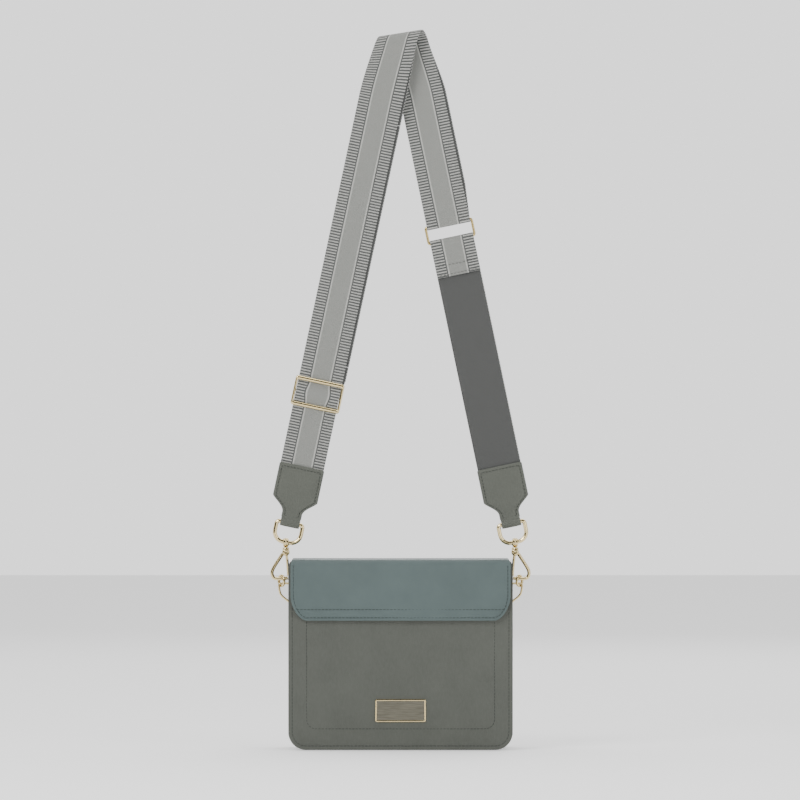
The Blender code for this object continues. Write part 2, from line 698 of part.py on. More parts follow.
def make_slider():
    """A three-bar slide: the webbing runs behind the frame and in front of the set-back bar."""
    lean = LEAN[-1]
    half_height = SLIDER_HEIGHT / 2
    outer = rounded(SLIDER_WIDTH, -half_height, half_height, 2 * MM, 2 * MM, 4)
    window = rounded(SLIDER_WIDTH - 2 * SLIDER_SIDE, -half_height + SLIDER_BAR, half_height - SLIDER_BAR,
                     0.8 * MM, 0.8 * MM, 3)
    forward = WEB / 2 + GAP + SLIDER_THICKNESS / 2
    frame = flat("slider", [outer, window], SLIDER_THICKNESS, "gold")
    place(frame, "slider", up_the_leg(-1, SLIDER_ALONG, 0, forward), lean)
    back = forward + LOOP_DEPTH + SLIDER_ROD
    for edge in (-1, 1):
        lug = box("slider_lug", (SLIDER_SIDE, back, 7 * MM), "gold")
        across = edge * (SLIDER_WIDTH - SLIDER_SIDE) / 2
        place(lug, "slider", up_the_leg(-1, SLIDER_ALONG, across, forward - back / 2), lean)
        boolean(frame, lug, "UNION")
    bar = cylinder("slider_bar", SLIDER_ROD, SLIDER_WIDTH - SLIDER_SIDE, "X", "gold", 12)
    place(bar, "slider", up_the_leg(-1, SLIDER_ALONG, 0, -LOOP_DEPTH), lean)
    boolean(frame, bar, "UNION")


def make_strap_ring():
    half = RING_HEIGHT / 2 - RING_WIRE
    loop = rounded(RING_WIDTH - 2 * RING_WIRE, -half, half, 1.6 * MM, 1.6 * MM, 3)
    ring = wire("strap_ring", [(x, 0, z) for x, z in loop], RING_WIRE, "gold", cyclic=True)
    place(ring, "strap", up_the_leg(1, RING_ALONG), -LEAN[1])


# Hardware at the strap's ends --------------------------------------------------------------------


def make_d_rings():
    outline = rounded(D_RING_WIDTH, -D_RING_HEIGHT, 0, 9 * MM, 2.5 * MM, 5)
    for side in (-1, 1):
        name = side_name(side)
        points = [(x, 0, z) for x, z in outline]
        ring = wire("d_ring_" + name, points, D_RING_WIRE, "gold", cyclic=True)
        place(ring, "d_ring_" + name, up_the_leg(side, 0), -side * LEAN[side])


def make_swivel_eye(side):
    """The eye on the D-ring, with a stem and a button that turn inside the hook's head."""
    name = side_name(side)
    circle = arc((0, 0), EYE_RADIUS, 0, 345, 23)
    eye = wire("swivel_eye_" + name, [(0, y, z) for y, z in circle], EYE_WIRE, "gold", cyclic=True)
    place(eye, "d_ring_" + name, hook_point(side, 0, 0, -EYE_DROP))
    top = -EYE_DROP - EYE_RADIUS
    profile = [
        (0, top), (STEM_RADIUS, top), (STEM_RADIUS, HEAD_TOP - 1.2 * MM),
        (BUTTON_RADIUS, HEAD_TOP - 1.2 * MM), (BUTTON_RADIUS, HEAD_TOP - 2.0 * MM),
        (0, HEAD_TOP - 2.0 * MM),
    ]
    stem = turned("swivel_stem", profile, "Z", "gold", 16)
    place(stem, "d_ring_" + name, hook_point(side, 0, 0, 0))
    boolean(eye, stem, "UNION")


def make_hook(side):
    name = side_name(side)
    head_centre = HEAD_TOP - HEAD_HEIGHT / 2
    head = box("hook_" + name, (HEAD_WIDTH, HEAD_DEPTH, HEAD_HEIGHT), "gold", 1.0 * MM)
    place(head, "hook_" + name, hook_point(side, 0.3 * MM, 0, head_centre))
    spine = [
        (1.6, -9.0), (4.6, -13.0), (8.6, -19.0), (11.6, -24.0), (12.2, -26.6), (12.0, -29.4),
        (10.6, -31.6), (8.4, -32.9), (6.0, -33.2), (4.0, -33.2), (2.2, -33.1), (0.4, -32.8), (-1.8, -32.4),
    ]
    points = [(side * u * MM, 0, v * MM) for u, v in spine]
    bow = wire("hook_bow", points, HOOK_WIRE, "gold")
    place(bow, "hook_" + name, hook_point(side, 0, 0, 0))
    boolean(head, bow, "UNION")
    neck, room = STEM_RADIUS + GAP, BUTTON_RADIUS + GAP
    seat = [
        (0, HEAD_TOP + 1 * MM), (neck, HEAD_TOP + 1 * MM), (neck, HEAD_TOP - 0.9 * MM),
        (room, HEAD_TOP - 0.9 * MM), (room, HEAD_TOP - 2.3 * MM), (0, HEAD_TOP - 2.3 * MM),
    ]
    cavity = turned("hook_cavity", seat, "Z", "gold", 16)
    place(cavity, "hook_" + name, hook_point(side, 0, 0, 0))
    boolean(head, cavity, "DIFFERENCE")
    slot = box("hook_slot", (8 * MM, 4.0 * MM, 6.4 * MM), "gold")
    place(slot, "hook_" + name, hook_point(side, -1.6 * MM, 0, PIN_V - 1.0 * MM))
    boolean(head, slot, "DIFFERENCE")
    hole = cylinder("hook_pin_hole", PIN_RADIUS + GAP, 2 * HEAD_DEPTH, "Y", "gold", 16)
    place(hole, "hook_" + name, hook_point(side, 0, 0, PIN_V))
    boolean(head, hole, "DIFFERENCE")
    half, head_height = HEAD_DEPTH / 2, 0.7 * MM
    rivet = [
        (0, half + GAP + head_height), (1.2 * MM, half + GAP + head_height),
        (1.8 * MM, half + GAP + 0.3 * MM), (1.8 * MM, half + GAP), (PIN_RADIUS, half + GAP),
    ]
    rivet += [(radius, -height) for radius, height in rivet[::-1]]
    pin = turned("gate_pin_" + name, rivet, "Y", "gold", 16)
    place(pin, "hook_" + name, hook_point(side, 0, 0, PIN_V))


def make_gate(side):
    name = side_name(side)
    knuckle = cylinder("gate_" + name, PIN_RADIUS + GAP + 0.8 * MM, 2.2 * MM, "Y", "gold", 16)
    place(knuckle, "gate_" + name, hook_point(side, 0, 0.6 * MM, PIN_V))
    start = Vector((-0.3 * MM, 0, PIN_V - 1.4 * MM))
    points = [start, start.lerp(GATE_FOOT, 0.5) - Vector((0.5 * MM, 0, 0)), GATE_FOOT]
    arm = wire("gate_arm", [(side * p.x, 0, p.z) for p in points], GATE_WIRE, "gold")
    place(arm, "gate_" + name, hook_point(side, 0, 0, 0))
    boolean(knuckle, arm, "UNION")
    bore = cylinder("gate_bore", PIN_RADIUS + GAP, 5 * MM, "Y", "gold", 16)
    place(bore, "gate_" + name, hook_point(side, 0, 0.6 * MM, PIN_V))
    boolean(knuckle, bore, "DIFFERENCE")
    turns, steps = 2, 10
    coil = [
        (1.35 * MM * math.cos(2 * math.pi * step / steps), 0.85 * MM + 0.7 * MM * step / (turns * steps),
         1.35 * MM * math.sin(2 * math.pi * step / steps))
        for step in range(turns * steps + 1)
    ]
    spring = wire("gate_spring_" + name, coil, 0.13 * MM, "steel", resolution=1)
    place(spring, "hook_" + name, hook_point(side, 0, 0, PIN_V))


def make_side_ring(side):
    name = side_name(side)
    circle = arc((0, 0), SIDE_RING_RADIUS, 0, 345, 23)
    ring = wire("side_ring_" + name, [(0, y, z) for y, z in circle], SIDE_RING_WIRE, "gold", cyclic=True)
    centre = hook_point(side, SIDE_RING_U, 0, 0)
    place(ring, "side_ring_" + name, (centre.x, 0, RING_CENTRE_HEIGHT))


def make_bridge(side, gusset):
    """The plate riveted to the gusset, with an arch that the side ring hangs in."""
    name = side_name(side)
    face = GUSSET_X + GAP
    plate_height = (RING_PIVOT_HEIGHT + BRIDGE_FOOT_HEIGHT) / 2
    plate = box("bridge_" + name, BRIDGE_PLATE, "gold")
    place(plate, "bag", (side * (face + BRIDGE_PLATE.x / 2), 0, plate_height))
    reach = hook_point(1, SIDE_RING_U, 0, 0).x + SIDE_RING_WIRE + GAP + BRIDGE_WIRE - face
    low, high = BRIDGE_FOOT_HEIGHT, RING_PIVOT_HEIGHT
    corner = 3 * MM
    arch = [(0.5 * MM, low), *arc((reach - corner, low + corner), corner, 270, 360, 5),
            *arc((reach - corner, high - corner), corner, 0, 90, 5), (0.5 * MM, high)]
    loop = wire("bridge_arch", [(side * x, 0, z) for x, z in arch], BRIDGE_WIRE, "gold")
    place(loop, "bag", (side * face, 0, 0))
    boolean(plate, loop, "UNION")
    for end, offset in (("upper", 12.3 * MM), ("lower", -12.3 * MM)):
        height = plate_height + offset
        hole = cylinder("rivet_hole", 1.1 * MM, 8 * MM, "X", "gold", 14)
        place(hole, "bag", (side * face, 0, height))
        boolean(plate, hole, "DIFFERENCE")
        boolean(gusset, hole, "DIFFERENCE")
        head = face + BRIDGE_PLATE.x + GAP
        rivet = [(0, 0.9 * MM), (1.2 * MM, 0.8 * MM), (1.9 * MM, 0), (0.8 * MM, 0),
                 (0.8 * MM, GUSSET_X - GUSSET - head), (0, GUSSET_X - GUSSET - head)]
        made = turned(f"bridge_rivet_{name}_{end}", rivet, "X", "gold", 14)
        if side < 0:
            made.data.transform(Matrix.Rotation(math.pi, 4, "Z"))
        place(made, "bag", (side * head, 0, height))


make_bodies()
make_panels()
gusset_piece = make_gusset_and_lining()
make_plate()
make_magnet()
make_flap()
make_webbing()
make_end_loop()
make_short_webbing()
make_tabs()
make_slider()
make_strap_ring()
make_d_rings()
for each_side in (-1, 1):
    make_swivel_eye(each_side)
    make_hook(each_side)
    make_gate(each_side)
    make_side_ring(each_side)
    make_bridge(each_side, gusset_piece)
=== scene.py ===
"""The looks of a crossbody bag on its webbing strap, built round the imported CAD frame.

Metres, +Z up, the flap's face looks along -Y. Heights above the bag's base go through above_base().
"""

import json
import math
import random

import bmesh
import bpy
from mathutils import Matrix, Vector, noise

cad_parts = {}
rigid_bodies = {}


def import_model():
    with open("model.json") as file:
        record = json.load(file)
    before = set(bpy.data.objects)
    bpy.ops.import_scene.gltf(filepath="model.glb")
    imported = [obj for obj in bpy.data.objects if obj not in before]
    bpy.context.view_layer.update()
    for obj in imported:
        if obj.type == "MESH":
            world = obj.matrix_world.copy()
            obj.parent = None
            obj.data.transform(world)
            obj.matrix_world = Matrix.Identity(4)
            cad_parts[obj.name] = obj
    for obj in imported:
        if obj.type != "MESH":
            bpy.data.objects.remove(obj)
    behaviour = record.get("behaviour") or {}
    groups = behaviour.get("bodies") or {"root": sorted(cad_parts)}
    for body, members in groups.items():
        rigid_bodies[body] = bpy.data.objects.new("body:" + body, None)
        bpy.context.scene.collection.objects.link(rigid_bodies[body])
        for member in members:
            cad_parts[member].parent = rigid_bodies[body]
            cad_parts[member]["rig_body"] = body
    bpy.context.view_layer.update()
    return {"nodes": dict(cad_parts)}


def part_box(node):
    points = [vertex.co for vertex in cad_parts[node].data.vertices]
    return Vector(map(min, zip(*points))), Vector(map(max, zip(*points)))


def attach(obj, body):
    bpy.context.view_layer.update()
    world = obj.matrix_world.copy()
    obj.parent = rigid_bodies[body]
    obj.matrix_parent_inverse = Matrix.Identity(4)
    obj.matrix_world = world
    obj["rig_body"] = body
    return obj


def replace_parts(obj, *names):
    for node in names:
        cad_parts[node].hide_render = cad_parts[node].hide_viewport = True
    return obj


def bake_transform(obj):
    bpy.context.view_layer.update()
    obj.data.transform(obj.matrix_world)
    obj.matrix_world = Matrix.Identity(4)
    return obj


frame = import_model()
NODES = frame["nodes"]
MM = 0.001
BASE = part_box("front_panel")[0].z
SEED = 7
RANDOM = random.Random(SEED)
noise.seed_set(SEED)  # noise_vector() shifts its noise by offsets drawn from this seed


def above_base(x, y, height):
    return Vector((x, y, BASE + height))


# Sizes that repeat the CAD model's -------------------------------------------------------------

BAG_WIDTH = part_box("front_panel")[1].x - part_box("front_panel")[0].x
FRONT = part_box("front_panel")[0].y
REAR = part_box("rear_panel")[1].y
PANEL_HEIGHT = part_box("front_panel")[1].z - BASE
LEATHER = 1.2 * MM
PANEL_CORNER = 16 * MM
GUSSET_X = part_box("gusset")[1].x
GUSSET_RECESS = 3 * MM
FLAP_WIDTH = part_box("flap_cover")[1].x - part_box("flap_cover")[0].x
FLAP_FRONT_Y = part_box("flap_cover")[0].y
FLAP_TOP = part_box("flap_cover")[1].z - BASE
FLAP_EDGE_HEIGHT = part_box("flap_cover")[0].z - BASE
FLAP_BACK_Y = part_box("flap_back")[1].y
FLAP_BACK_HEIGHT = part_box("flap_back")[0].z - BASE

WEB_WIDTH = 40 * MM
WEB = 1.3 * MM
GAP = 0.3 * MM
PITCH = WEB + GAP
PEG_RADIUS = 5 * MM
LEAN = {-1: math.radians(12.1), 1: math.radians(11.8)}
BAR = Vector((100.5 * MM, 0, 204.5 * MM))
TOP_TILT = math.radians(9)  # the fold at the top rises to the right
LEG_TOP_HEIGHT = 590 * MM  # where the straight legs begin to curve in to the top bend
LEG_LENGTH = (LEG_TOP_HEIGHT - BAR.z) / math.cos(LEAN[1])
TAB_TOP = 53 * MM
WEB_END = 24 * MM
REAR_LAYER_SHIFT = 2.5 * MM
SLIDER_ALONG = 119.6 * MM
SLIDER_ROD = 1.0 * MM
RING_ALONG = 271 * MM
RING_WIRE = 1.1 * MM
RING_HEIGHT = 17.4 * MM
RING_HALF = RING_HEIGHT / 2 - RING_WIRE
D_RING_HEIGHT = 17.8 * MM
LOOP_END_BACK = 2.06 * PITCH  # how far behind the leg the loop's end is sewn down
SEAM_INSET = 2.6 * MM  # from the edge of a tab or of the flap to its seam


# Materials ---------------------------------------------------------------------------------------


class Shader:
    """A material's nodes, with short calls for the few kinds used here."""

    def __init__(self, name, roughness, metallic=0.0, **settings):
        self.made = bpy.data.materials.new(name)
        self.made.use_nodes = True
        self.nodes = self.made.node_tree.nodes
        self.links = self.made.node_tree.links
        self.out = self.nodes["Principled BSDF"]
        self.out.inputs["Roughness"].default_value = roughness
        self.out.inputs["Metallic"].default_value = metallic
        for key, value in settings.items():
            self.out.inputs[key.replace("_", " ").title().replace("Ior", "IOR")].default_value = value

    def put(self, target, value):
        if isinstance(value, bpy.types.NodeSocket):
            self.links.new(value, target)
        else:
            target.default_value = value

    def node(self, kind, output, inputs=None, **settings):
        made = self.nodes.new("ShaderNode" + kind)
        for key, value in settings.items():
            setattr(made, key, value)
        for key, value in (inputs or {}).items():
            self.put(made.inputs[key], value)
        return made.outputs[output]

    def math(self, operation, first, second=0.0, third=0.0):
        made = self.nodes.new("ShaderNodeMath")
        made.operation = operation
        for socket, value in zip(made.inputs, (first, second, third)):
            self.put(socket, value)
        return made.outputs[0]

    def place(self):
        return self.node("TexCoord", "Object")

    def noise(self, scale, detail=3.0, vector=None, roughness=0.5):
        vector = vector or self.place()
        return self.node("TexNoise", "Fac", {"Vector": vector, "Scale": scale, "Detail": detail,
                                             "Roughness": roughness})

    def ramp(self, value, low, high, low_out=0.0, high_out=1.0):
        return self.node("MapRange", 0, {"Value": value, "From Min": low, "From Max": high,
                                         "To Min": low_out, "To Max": high_out}, clamp=True)

    def mix(self, share, first, second):
        made = self.nodes.new("ShaderNodeMix")
        made.data_type = "RGBA"
        self.put(made.inputs["Factor"], share)
        for socket, value in ((made.inputs[6], first), (made.inputs[7], second)):
            self.put(socket, (*value, 1) if isinstance(value, tuple) else value)
        return made.outputs[2]

    def finish(self, colour, height=None, distance=0.0002, strength=1.0, roughness=None):
        self.put(self.out.inputs["Base Color"], (*colour, 1) if isinstance(colour, tuple) else colour)
        if roughness is not None:
            self.put(self.out.inputs["Roughness"], roughness)
        if height is not None:
            bump = self.node("Bump", "Normal", {"Height": height, "Distance": distance, "Strength": strength})
            self.put(self.out.inputs["Normal"], bump)
        return self.made


STUDIO_TONE = 0.65


def linear(red, green, blue):
    """A colour given in 0 to 255 steps, as the shader's linear values under the studio's light."""
    return tuple(STUDIO_TONE * ((c / 255 + 0.055) / 1.055) ** 2.4 for c in (red, green, blue))


def darker(colour, share):
    return tuple(channel * share for channel in colour)


def cross_grain_leather(name, colour):
    """Leather pressed with a fine cross-hatched grain."""
    s = Shader(name, 0.58, specular_ior_level=0.25)
    place = s.place()
    stretched = s.node("Mapping", 0, {"Vector": place, "Scale": (1.0, 1.0, 2.3),
                                      "Rotation": (0, math.radians(38), 0)})
    crossed = s.node("Mapping", 0, {"Vector": place, "Scale": (2.3, 1.0, 1.0),
                                    "Rotation": (0, math.radians(38), 0)})
    first = s.node("TexVoronoi", "Distance", {"Vector": stretched, "Scale": 900.0, "Randomness": 0.9})
    second = s.node("TexVoronoi", "Distance", {"Vector": crossed, "Scale": 900.0, "Randomness": 0.9})
    grain = s.math("MINIMUM", first, second)
    fine = s.noise(3200.0, 2.0)
    height = s.math("ADD", s.ramp(grain, 0.05, 0.45), s.math("MULTIPLY", fine, 0.35))
    patches = s.ramp(s.noise(38.0, 4.0), 0.3, 0.7)
    tone = s.mix(patches, darker(colour, 0.93), darker(colour, 1.06))
    tone = s.mix(s.ramp(grain, 0.0, 0.22, 0.38, 0.0), tone, darker(colour, 0.62))
    tone = s.mix(s.ramp(fine, 0.35, 0.75, 0.0, 0.18), tone, darker(colour, 1.45))
    streaked = s.node("Mapping", 0, {"Vector": place, "Scale": (1.0, 1.0, 0.3)})
    tone = s.mix(s.ramp(s.noise(900.0, 3.0, streaked), 0.35, 0.7, 0.0, 0.22), tone, darker(colour, 1.4))
    rough = s.ramp(patches, 0.0, 1.0, 0.54, 0.64)
    return s.finish(tone, height, 0.00012, 0.55, rough)


def smooth_leather(name, colour):
    """Smooth dyed leather, a little mottled, with a satin finish."""
    s = Shader(name, 0.48, specular_ior_level=0.28)
    cloud = s.noise(14.0, 5.0, roughness=0.6)
    haze = s.noise(70.0, 3.0)
    pores = s.node("TexVoronoi", "Distance", {"Vector": s.place(), "Scale": 1500.0})
    tone = s.mix(s.ramp(cloud, 0.32, 0.68), darker(colour, 0.90), darker(colour, 1.08))
    tone = s.mix(s.ramp(haze, 0.4, 0.8, 0.0, 0.22), tone, darker(colour, 1.25))
    tone = s.mix(s.ramp(pores, 0.0, 0.12, 0.25, 0.0), tone, darker(colour, 0.7))
    height = s.math("ADD", s.ramp(pores, 0.0, 0.3), s.math("MULTIPLY", haze, 0.6))
    rough = s.ramp(cloud, 0.3, 0.7, 0.44, 0.56)
    return s.finish(tone, height, 0.00008, 0.4, rough)


def edge_paint(name, colour):
    s = Shader(name, 0.42)
    tone = s.mix(s.ramp(s.noise(160.0), 0.35, 0.65), darker(colour, 0.85), darker(colour, 1.1))
    return s.finish(tone, s.noise(420.0), 0.0001, 0.35)


def thread(name, colour):
    s = Shader(name, 0.7)
    twist = s.noise(2600.0, 1.0)
    tone = s.mix(s.ramp(twist, 0.35, 0.65), darker(colour, 0.75), darker(colour, 1.15))
    return s.finish(tone, twist, 0.00008, 0.5)


def webbing_material():
    """Jacquard webbing: a plain centre, a pale line and a dark one each side, and ladder borders.

    The UV map runs in millimetres: U across the width, V along the length. U above 100 is the reverse.
    """
    s = Shader("webbing", 0.82, sheen_weight=0.15)
    split = s.nodes.new("ShaderNodeSeparateXYZ")
    s.put(split.inputs[0], s.node("UVMap", 0))
    across, along = split.outputs[0], split.outputs[1]
    aside = s.math("ABSOLUTE", s.math("SUBTRACT", across, 20.0))
    warp = s.math("SINE", s.math("MULTIPLY", across, 2 * math.pi / 0.62))
    weft = s.math("SINE", s.math("MULTIPLY", along, 2 * math.pi / 0.55))
    weave = s.math("MULTIPLY", warp, weft)
    fleck = s.noise(900.0, 2.0, s.node("UVMap", 0))
    wobble = s.math("MULTIPLY", s.math("SUBTRACT", s.noise(0.35, 2.0, s.node("UVMap", 0)), 0.5), 0.5)
    rung = s.math("SINE", s.math("MULTIPLY", s.math("ADD", along, wobble), 2 * math.pi / 2.6))
    rung = s.ramp(rung, -0.02, 0.4)
    in_border = s.ramp(aside, 10.2, 10.5)
    in_dark = s.math("MULTIPLY", s.ramp(aside, 9.2, 9.4), s.ramp(aside, 10.2, 10.5, 1.0, 0.0))
    in_line = s.math("MULTIPLY", s.ramp(aside, 7.9, 8.1), s.ramp(aside, 9.2, 9.4, 1.0, 0.0))
    centre = s.mix(s.ramp(weave, -1.0, 1.0), linear(152, 154, 149), linear(182, 183, 177))
    dark, pale = linear(96, 98, 96), linear(208, 208, 203)
    ladder = s.mix(rung, dark, pale)
    tone = s.mix(in_border, centre, ladder)
    tone = s.mix(in_dark, tone, linear(96, 98, 96))
    tone = s.mix(in_line, tone, linear(214, 214, 208))
    tone = s.mix(s.ramp(fleck, 0.35, 0.7, 0.0, 0.16), tone, linear(70, 72, 70))
    reverse = s.mix(s.ramp(weave, -1.0, 1.0), linear(80, 81, 80), linear(98, 99, 97))
    tone = s.mix(s.ramp(across, 60.0, 61.0), tone, reverse)
    relief = s.math("MULTIPLY", s.math("MULTIPLY", in_border, rung), s.ramp(across, 60.0, 61.0, 1.0, 0.0))
    height = s.math("ADD", s.math("MULTIPLY", weave, 0.25), relief)
    return s.finish(tone, height, 0.00022, 0.6)


def gold_metal(name, colour, roughness):
    s = Shader(name, roughness, 1.0)
    smear = s.noise(90.0, 4.0)
    tone = s.mix(s.ramp(smear, 0.3, 0.7), darker(colour, 0.93), colour)
    rough = s.ramp(smear, 0.3, 0.75, roughness * 0.7, roughness * 1.35)
    return s.finish(tone, s.noise(1400.0, 2.0), 0.00003, 0.25, rough)


def brushed_metal(name, colour):
    s = Shader(name, 0.38, 1.0)
    lines = s.node("Mapping", 0, {"Vector": s.place(), "Scale": (0.04, 1.0, 1.0)})
    brush = s.noise(2600.0, 3.0, lines)
    tone = s.mix(s.ramp(brush, 0.3, 0.7), darker(colour, 0.7), darker(colour, 1.2))
    return s.finish(tone, brush, 0.00005, 0.5, s.ramp(brush, 0.3, 0.7, 0.3, 0.48))


def woven_cloth(name, colour):
    s = Shader(name, 0.9, sheen_weight=0.1)
    split = s.nodes.new("ShaderNodeSeparateXYZ")
    s.put(split.inputs[0], s.place())
    across = s.math("ADD", split.outputs[0], split.outputs[1])
    warp = s.math("SINE", s.math("MULTIPLY", across, 2 * math.pi / 0.0008))
    weft = s.math("SINE", s.math("MULTIPLY", split.outputs[2], 2 * math.pi / 0.0008))
    weave = s.math("MULTIPLY", warp, weft)
    tone = s.mix(s.ramp(weave, -1.0, 1.0), darker(colour, 0.8), darker(colour, 1.15))
    tone = s.mix(s.ramp(s.noise(120.0), 0.4, 0.7, 0.0, 0.3), tone, darker(colour, 0.8))
    return s.finish(tone, weave, 0.0001, 0.5)


MATERIALS = {
    "panel_leather": cross_grain_leather("panel_leather", linear(103, 106, 99)),
    "flap_leather": smooth_leather("flap_leather", linear(104, 119, 118)),
    "tab_leather": cross_grain_leather("tab_leather", linear(107, 110, 102)),
    "edge_paint": edge_paint("edge_paint", linear(66, 76, 74)),
    "panel_thread": thread("panel_thread", linear(70, 74, 68)),
    "flap_thread": thread("flap_thread", linear(72, 84, 82)),
    "webbing_thread": thread("webbing_thread", linear(120, 121, 117)),
    "webbing": webbing_material(),
    "gold": gold_metal("gold", (0.74, 0.60, 0.32), 0.15),
    "dark_gold": gold_metal("dark_gold", (0.60, 0.46, 0.20), 0.18),
    "plate_field": brushed_metal("plate_field", (0.20, 0.19, 0.15)),
    "steel": gold_metal("steel", (0.55, 0.55, 0.55), 0.3),
    "lining": woven_cloth("lining", linear(88, 92, 92)),
    "board": woven_cloth("board", linear(172, 158, 132)),
}


# Mesh helpers ------------------------------------------------------------------------------------


def new_piece(name, bm, finish, angle=40, closed=True):
    data = bpy.data.meshes.new(name)
    if closed:
        bmesh.ops.recalc_face_normals(bm, faces=bm.faces)
    bm.to_mesh(data)
    bm.free()
    made = bpy.data.objects.new(name, data)
    bpy.context.scene.collection.objects.link(made)
    data.materials.append(MATERIALS[finish])
    data.shade_smooth()
    data.set_sharp_from_angle(angle=math.radians(angle))
    return made


def apply_modifiers(piece):
    """Bakes the modifiers into the mesh."""
    bpy.context.view_layer.update()
    graph = bpy.context.evaluated_depsgraph_get()
    data = bpy.data.meshes.new_from_object(piece.evaluated_get(graph))
    piece.modifiers.clear()
    piece.data = data
    return piece


def grid(name, columns, rows, place, finish, thickness=0.0, rim=0.0):
    """A sheet of columns by rows faces, placed by a function of two shares from 0 to 1.

    A thickness grows behind the sheet, and its rim is rounded.
    """
    bm = bmesh.new()
    points = [[bm.verts.new(place(c / columns, r / rows)) for c in range(columns + 1)]
              for r in range(rows + 1)]
    for row, above in zip(points, points[1:]):
        for c in range(columns):
            bm.faces.new((row[c], row[c + 1], above[c + 1], above[c]))
    bmesh.ops.dissolve_degenerate(bm, dist=0.00001, edges=bm.edges)
    made = new_piece(name, bm, finish, 180, closed=False)
    if thickness:
        thick = made.modifiers.new("thickness", "SOLIDIFY")
        thick.thickness = thickness
        thick.offset = -1
        thick.use_even_offset = False
    if rim:
        bevel = made.modifiers.new("rim", "BEVEL")
        bevel.width = rim
        bevel.segments = 3
        bevel.limit_method = "ANGLE"
        bevel.angle_limit = math.radians(50)
    apply_modifiers(made)
    made.data.set_sharp_from_angle(angle=math.radians(60))
    return made


def soft_copy(node, name, finish, voxel, fuller, smoothing=3):
    """A copy of a CAD piece, a little fuller, with its edges melted together as in cast metal."""
    data = NODES[node].data.copy()
    data.materials.clear()
    data.materials.append(MATERIALS[finish])
    made = bpy.data.objects.new(name, data)
    bpy.context.scene.collection.objects.link(made)
    remesh = made.modifiers.new("fuse", "REMESH")
    remesh.mode = "VOXEL"
    remesh.voxel_size = voxel
    remesh.use_smooth_shade = True
    swell = made.modifiers.new("fuller", "DISPLACE")
    swell.mid_level, swell.strength = 0, fuller
    smooth = made.modifiers.new("soften", "SMOOTH")
    smooth.iterations = smoothing
    smooth.factor = 0.5
    return apply_modifiers(made)


def joined(name, pieces, finish):
    """One mesh object from several, all at the origin."""
    bm = bmesh.new()
    for piece in pieces:
        bm.from_mesh(piece.data)
        bpy.data.objects.remove(piece)
    return new_piece(name, bm, finish)


def capsule(bm, start, end, radius, sides=6):
    """One thread stitch: a short rod whose ends are pulled down to a point."""
    along = (end - start).normalized()
    side = along.orthogonal().normalized()
    up = along.cross(side)
    length = (end - start).length
    rings = []
    for share, size in ((0, 0.35), (0.12, 0.85), (0.3, 1.0), (0.7, 1.0), (0.88, 0.85), (1, 0.35)):
        centre = start + along * (length * share)
        rings.append([
            bm.verts.new(centre + (side * math.cos(a) + up * math.sin(a)) * radius * size)
            for a in (2 * math.pi * k / sides for k in range(sides))
        ])
    for ring, after in zip(rings, rings[1:]):
        for k in range(sides):
            bm.faces.new((ring[k], ring[(k + 1) % sides], after[(k + 1) % sides], after[k]))
    bm.faces.new(rings[0][::-1])
    bm.faces.new(rings[-1])


def stitched(name, lines, finish, body, length=2.5 * MM, gap=0.75 * MM, radius=0.3 * MM):
    """Rows of stitches along polylines, as one mesh that moves with a body."""
    bm = bmesh.new()
    for line in lines:
        reach = sum((b - a).length for a, b in zip(line, line[1:]))
        count = max(int(round(reach / (length + gap))), 1)
        step = reach / count
        for k in range(count):
            low = k * step + gap / 2 + RANDOM.uniform(-0.1, 0.1) * MM
            start, end = walk(line, low), walk(line, low + step - gap)
            tilt = Vector((0, 0, RANDOM.uniform(-0.06, 0.06) * MM))
            capsule(bm, start + tilt, end - tilt, radius)
    made = new_piece(name, bm, finish)
    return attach(made, body)


def walk(line, distance):
    """The point this far along a polyline."""
    for a, b in zip(line, line[1:]):
        step = (b - a).length
        if distance <= step:
            return a.lerp(b, distance / step) if step else a
        distance -= step
    return line[-1]


# Strap -------------------------------------------------------------------------------------------


def up_the_leg(side, along, outward=0.0, forward=0.0):
    """A point up one straight leg of the strap from the bar of its D-ring."""
    lean = LEAN[side]
    rise = Vector((-side * math.sin(lean), 0, math.cos(lean)))
    share = max(along - TAB_TOP, 0) / ((LEG_TOP_HEIGHT - BAR.z) / math.cos(lean) - TAB_TOP)
    depth = side * (PEG_RADIUS + PITCH) * share
    start = above_base(side * BAR.x, 0, BAR.z)
    return start + rise * along + leg_across(side) * outward + Vector((0, depth - forward, 0))


def leg_across(side):
    return Vector((math.cos(LEAN[side]), 0, side * math.sin(LEAN[side])))


def leg_route(side, start, end, forward, shift=0.0):
    steps = max(int(abs(end - start) / (3 * MM)), 2)
    return [
        (up_the_leg(side, start + (end - start) * step / steps, shift, forward), leg_across(side))
        for step in range(steps + 1)
    ]


def wrap(side, along, radius, start, end, steps=20):
    """A fold round a bar across the leg. Angle 0 is in front of the bar, 90 is up the leg."""
    found = []
    for step in range(steps + 1):
        angle = math.radians(start + (end - start) * step / steps)
        point = up_the_leg(side, along + radius * math.sin(angle), 0, radius * math.cos(angle))
        found.append((point, leg_across(side)))
    return found


def eased(first, last, steps=12):
    """Points between two places of a route, easing out of one and into the other."""
    (start, across), (end, _) = first, last
    found = []
    for step in range(1, steps):
        share = step / steps
        point = start.lerp(end, share)
        point.y = start.y + (end.y - start.y) * share * share * (3 - 2 * share)
        found.append((point, across))
    return found


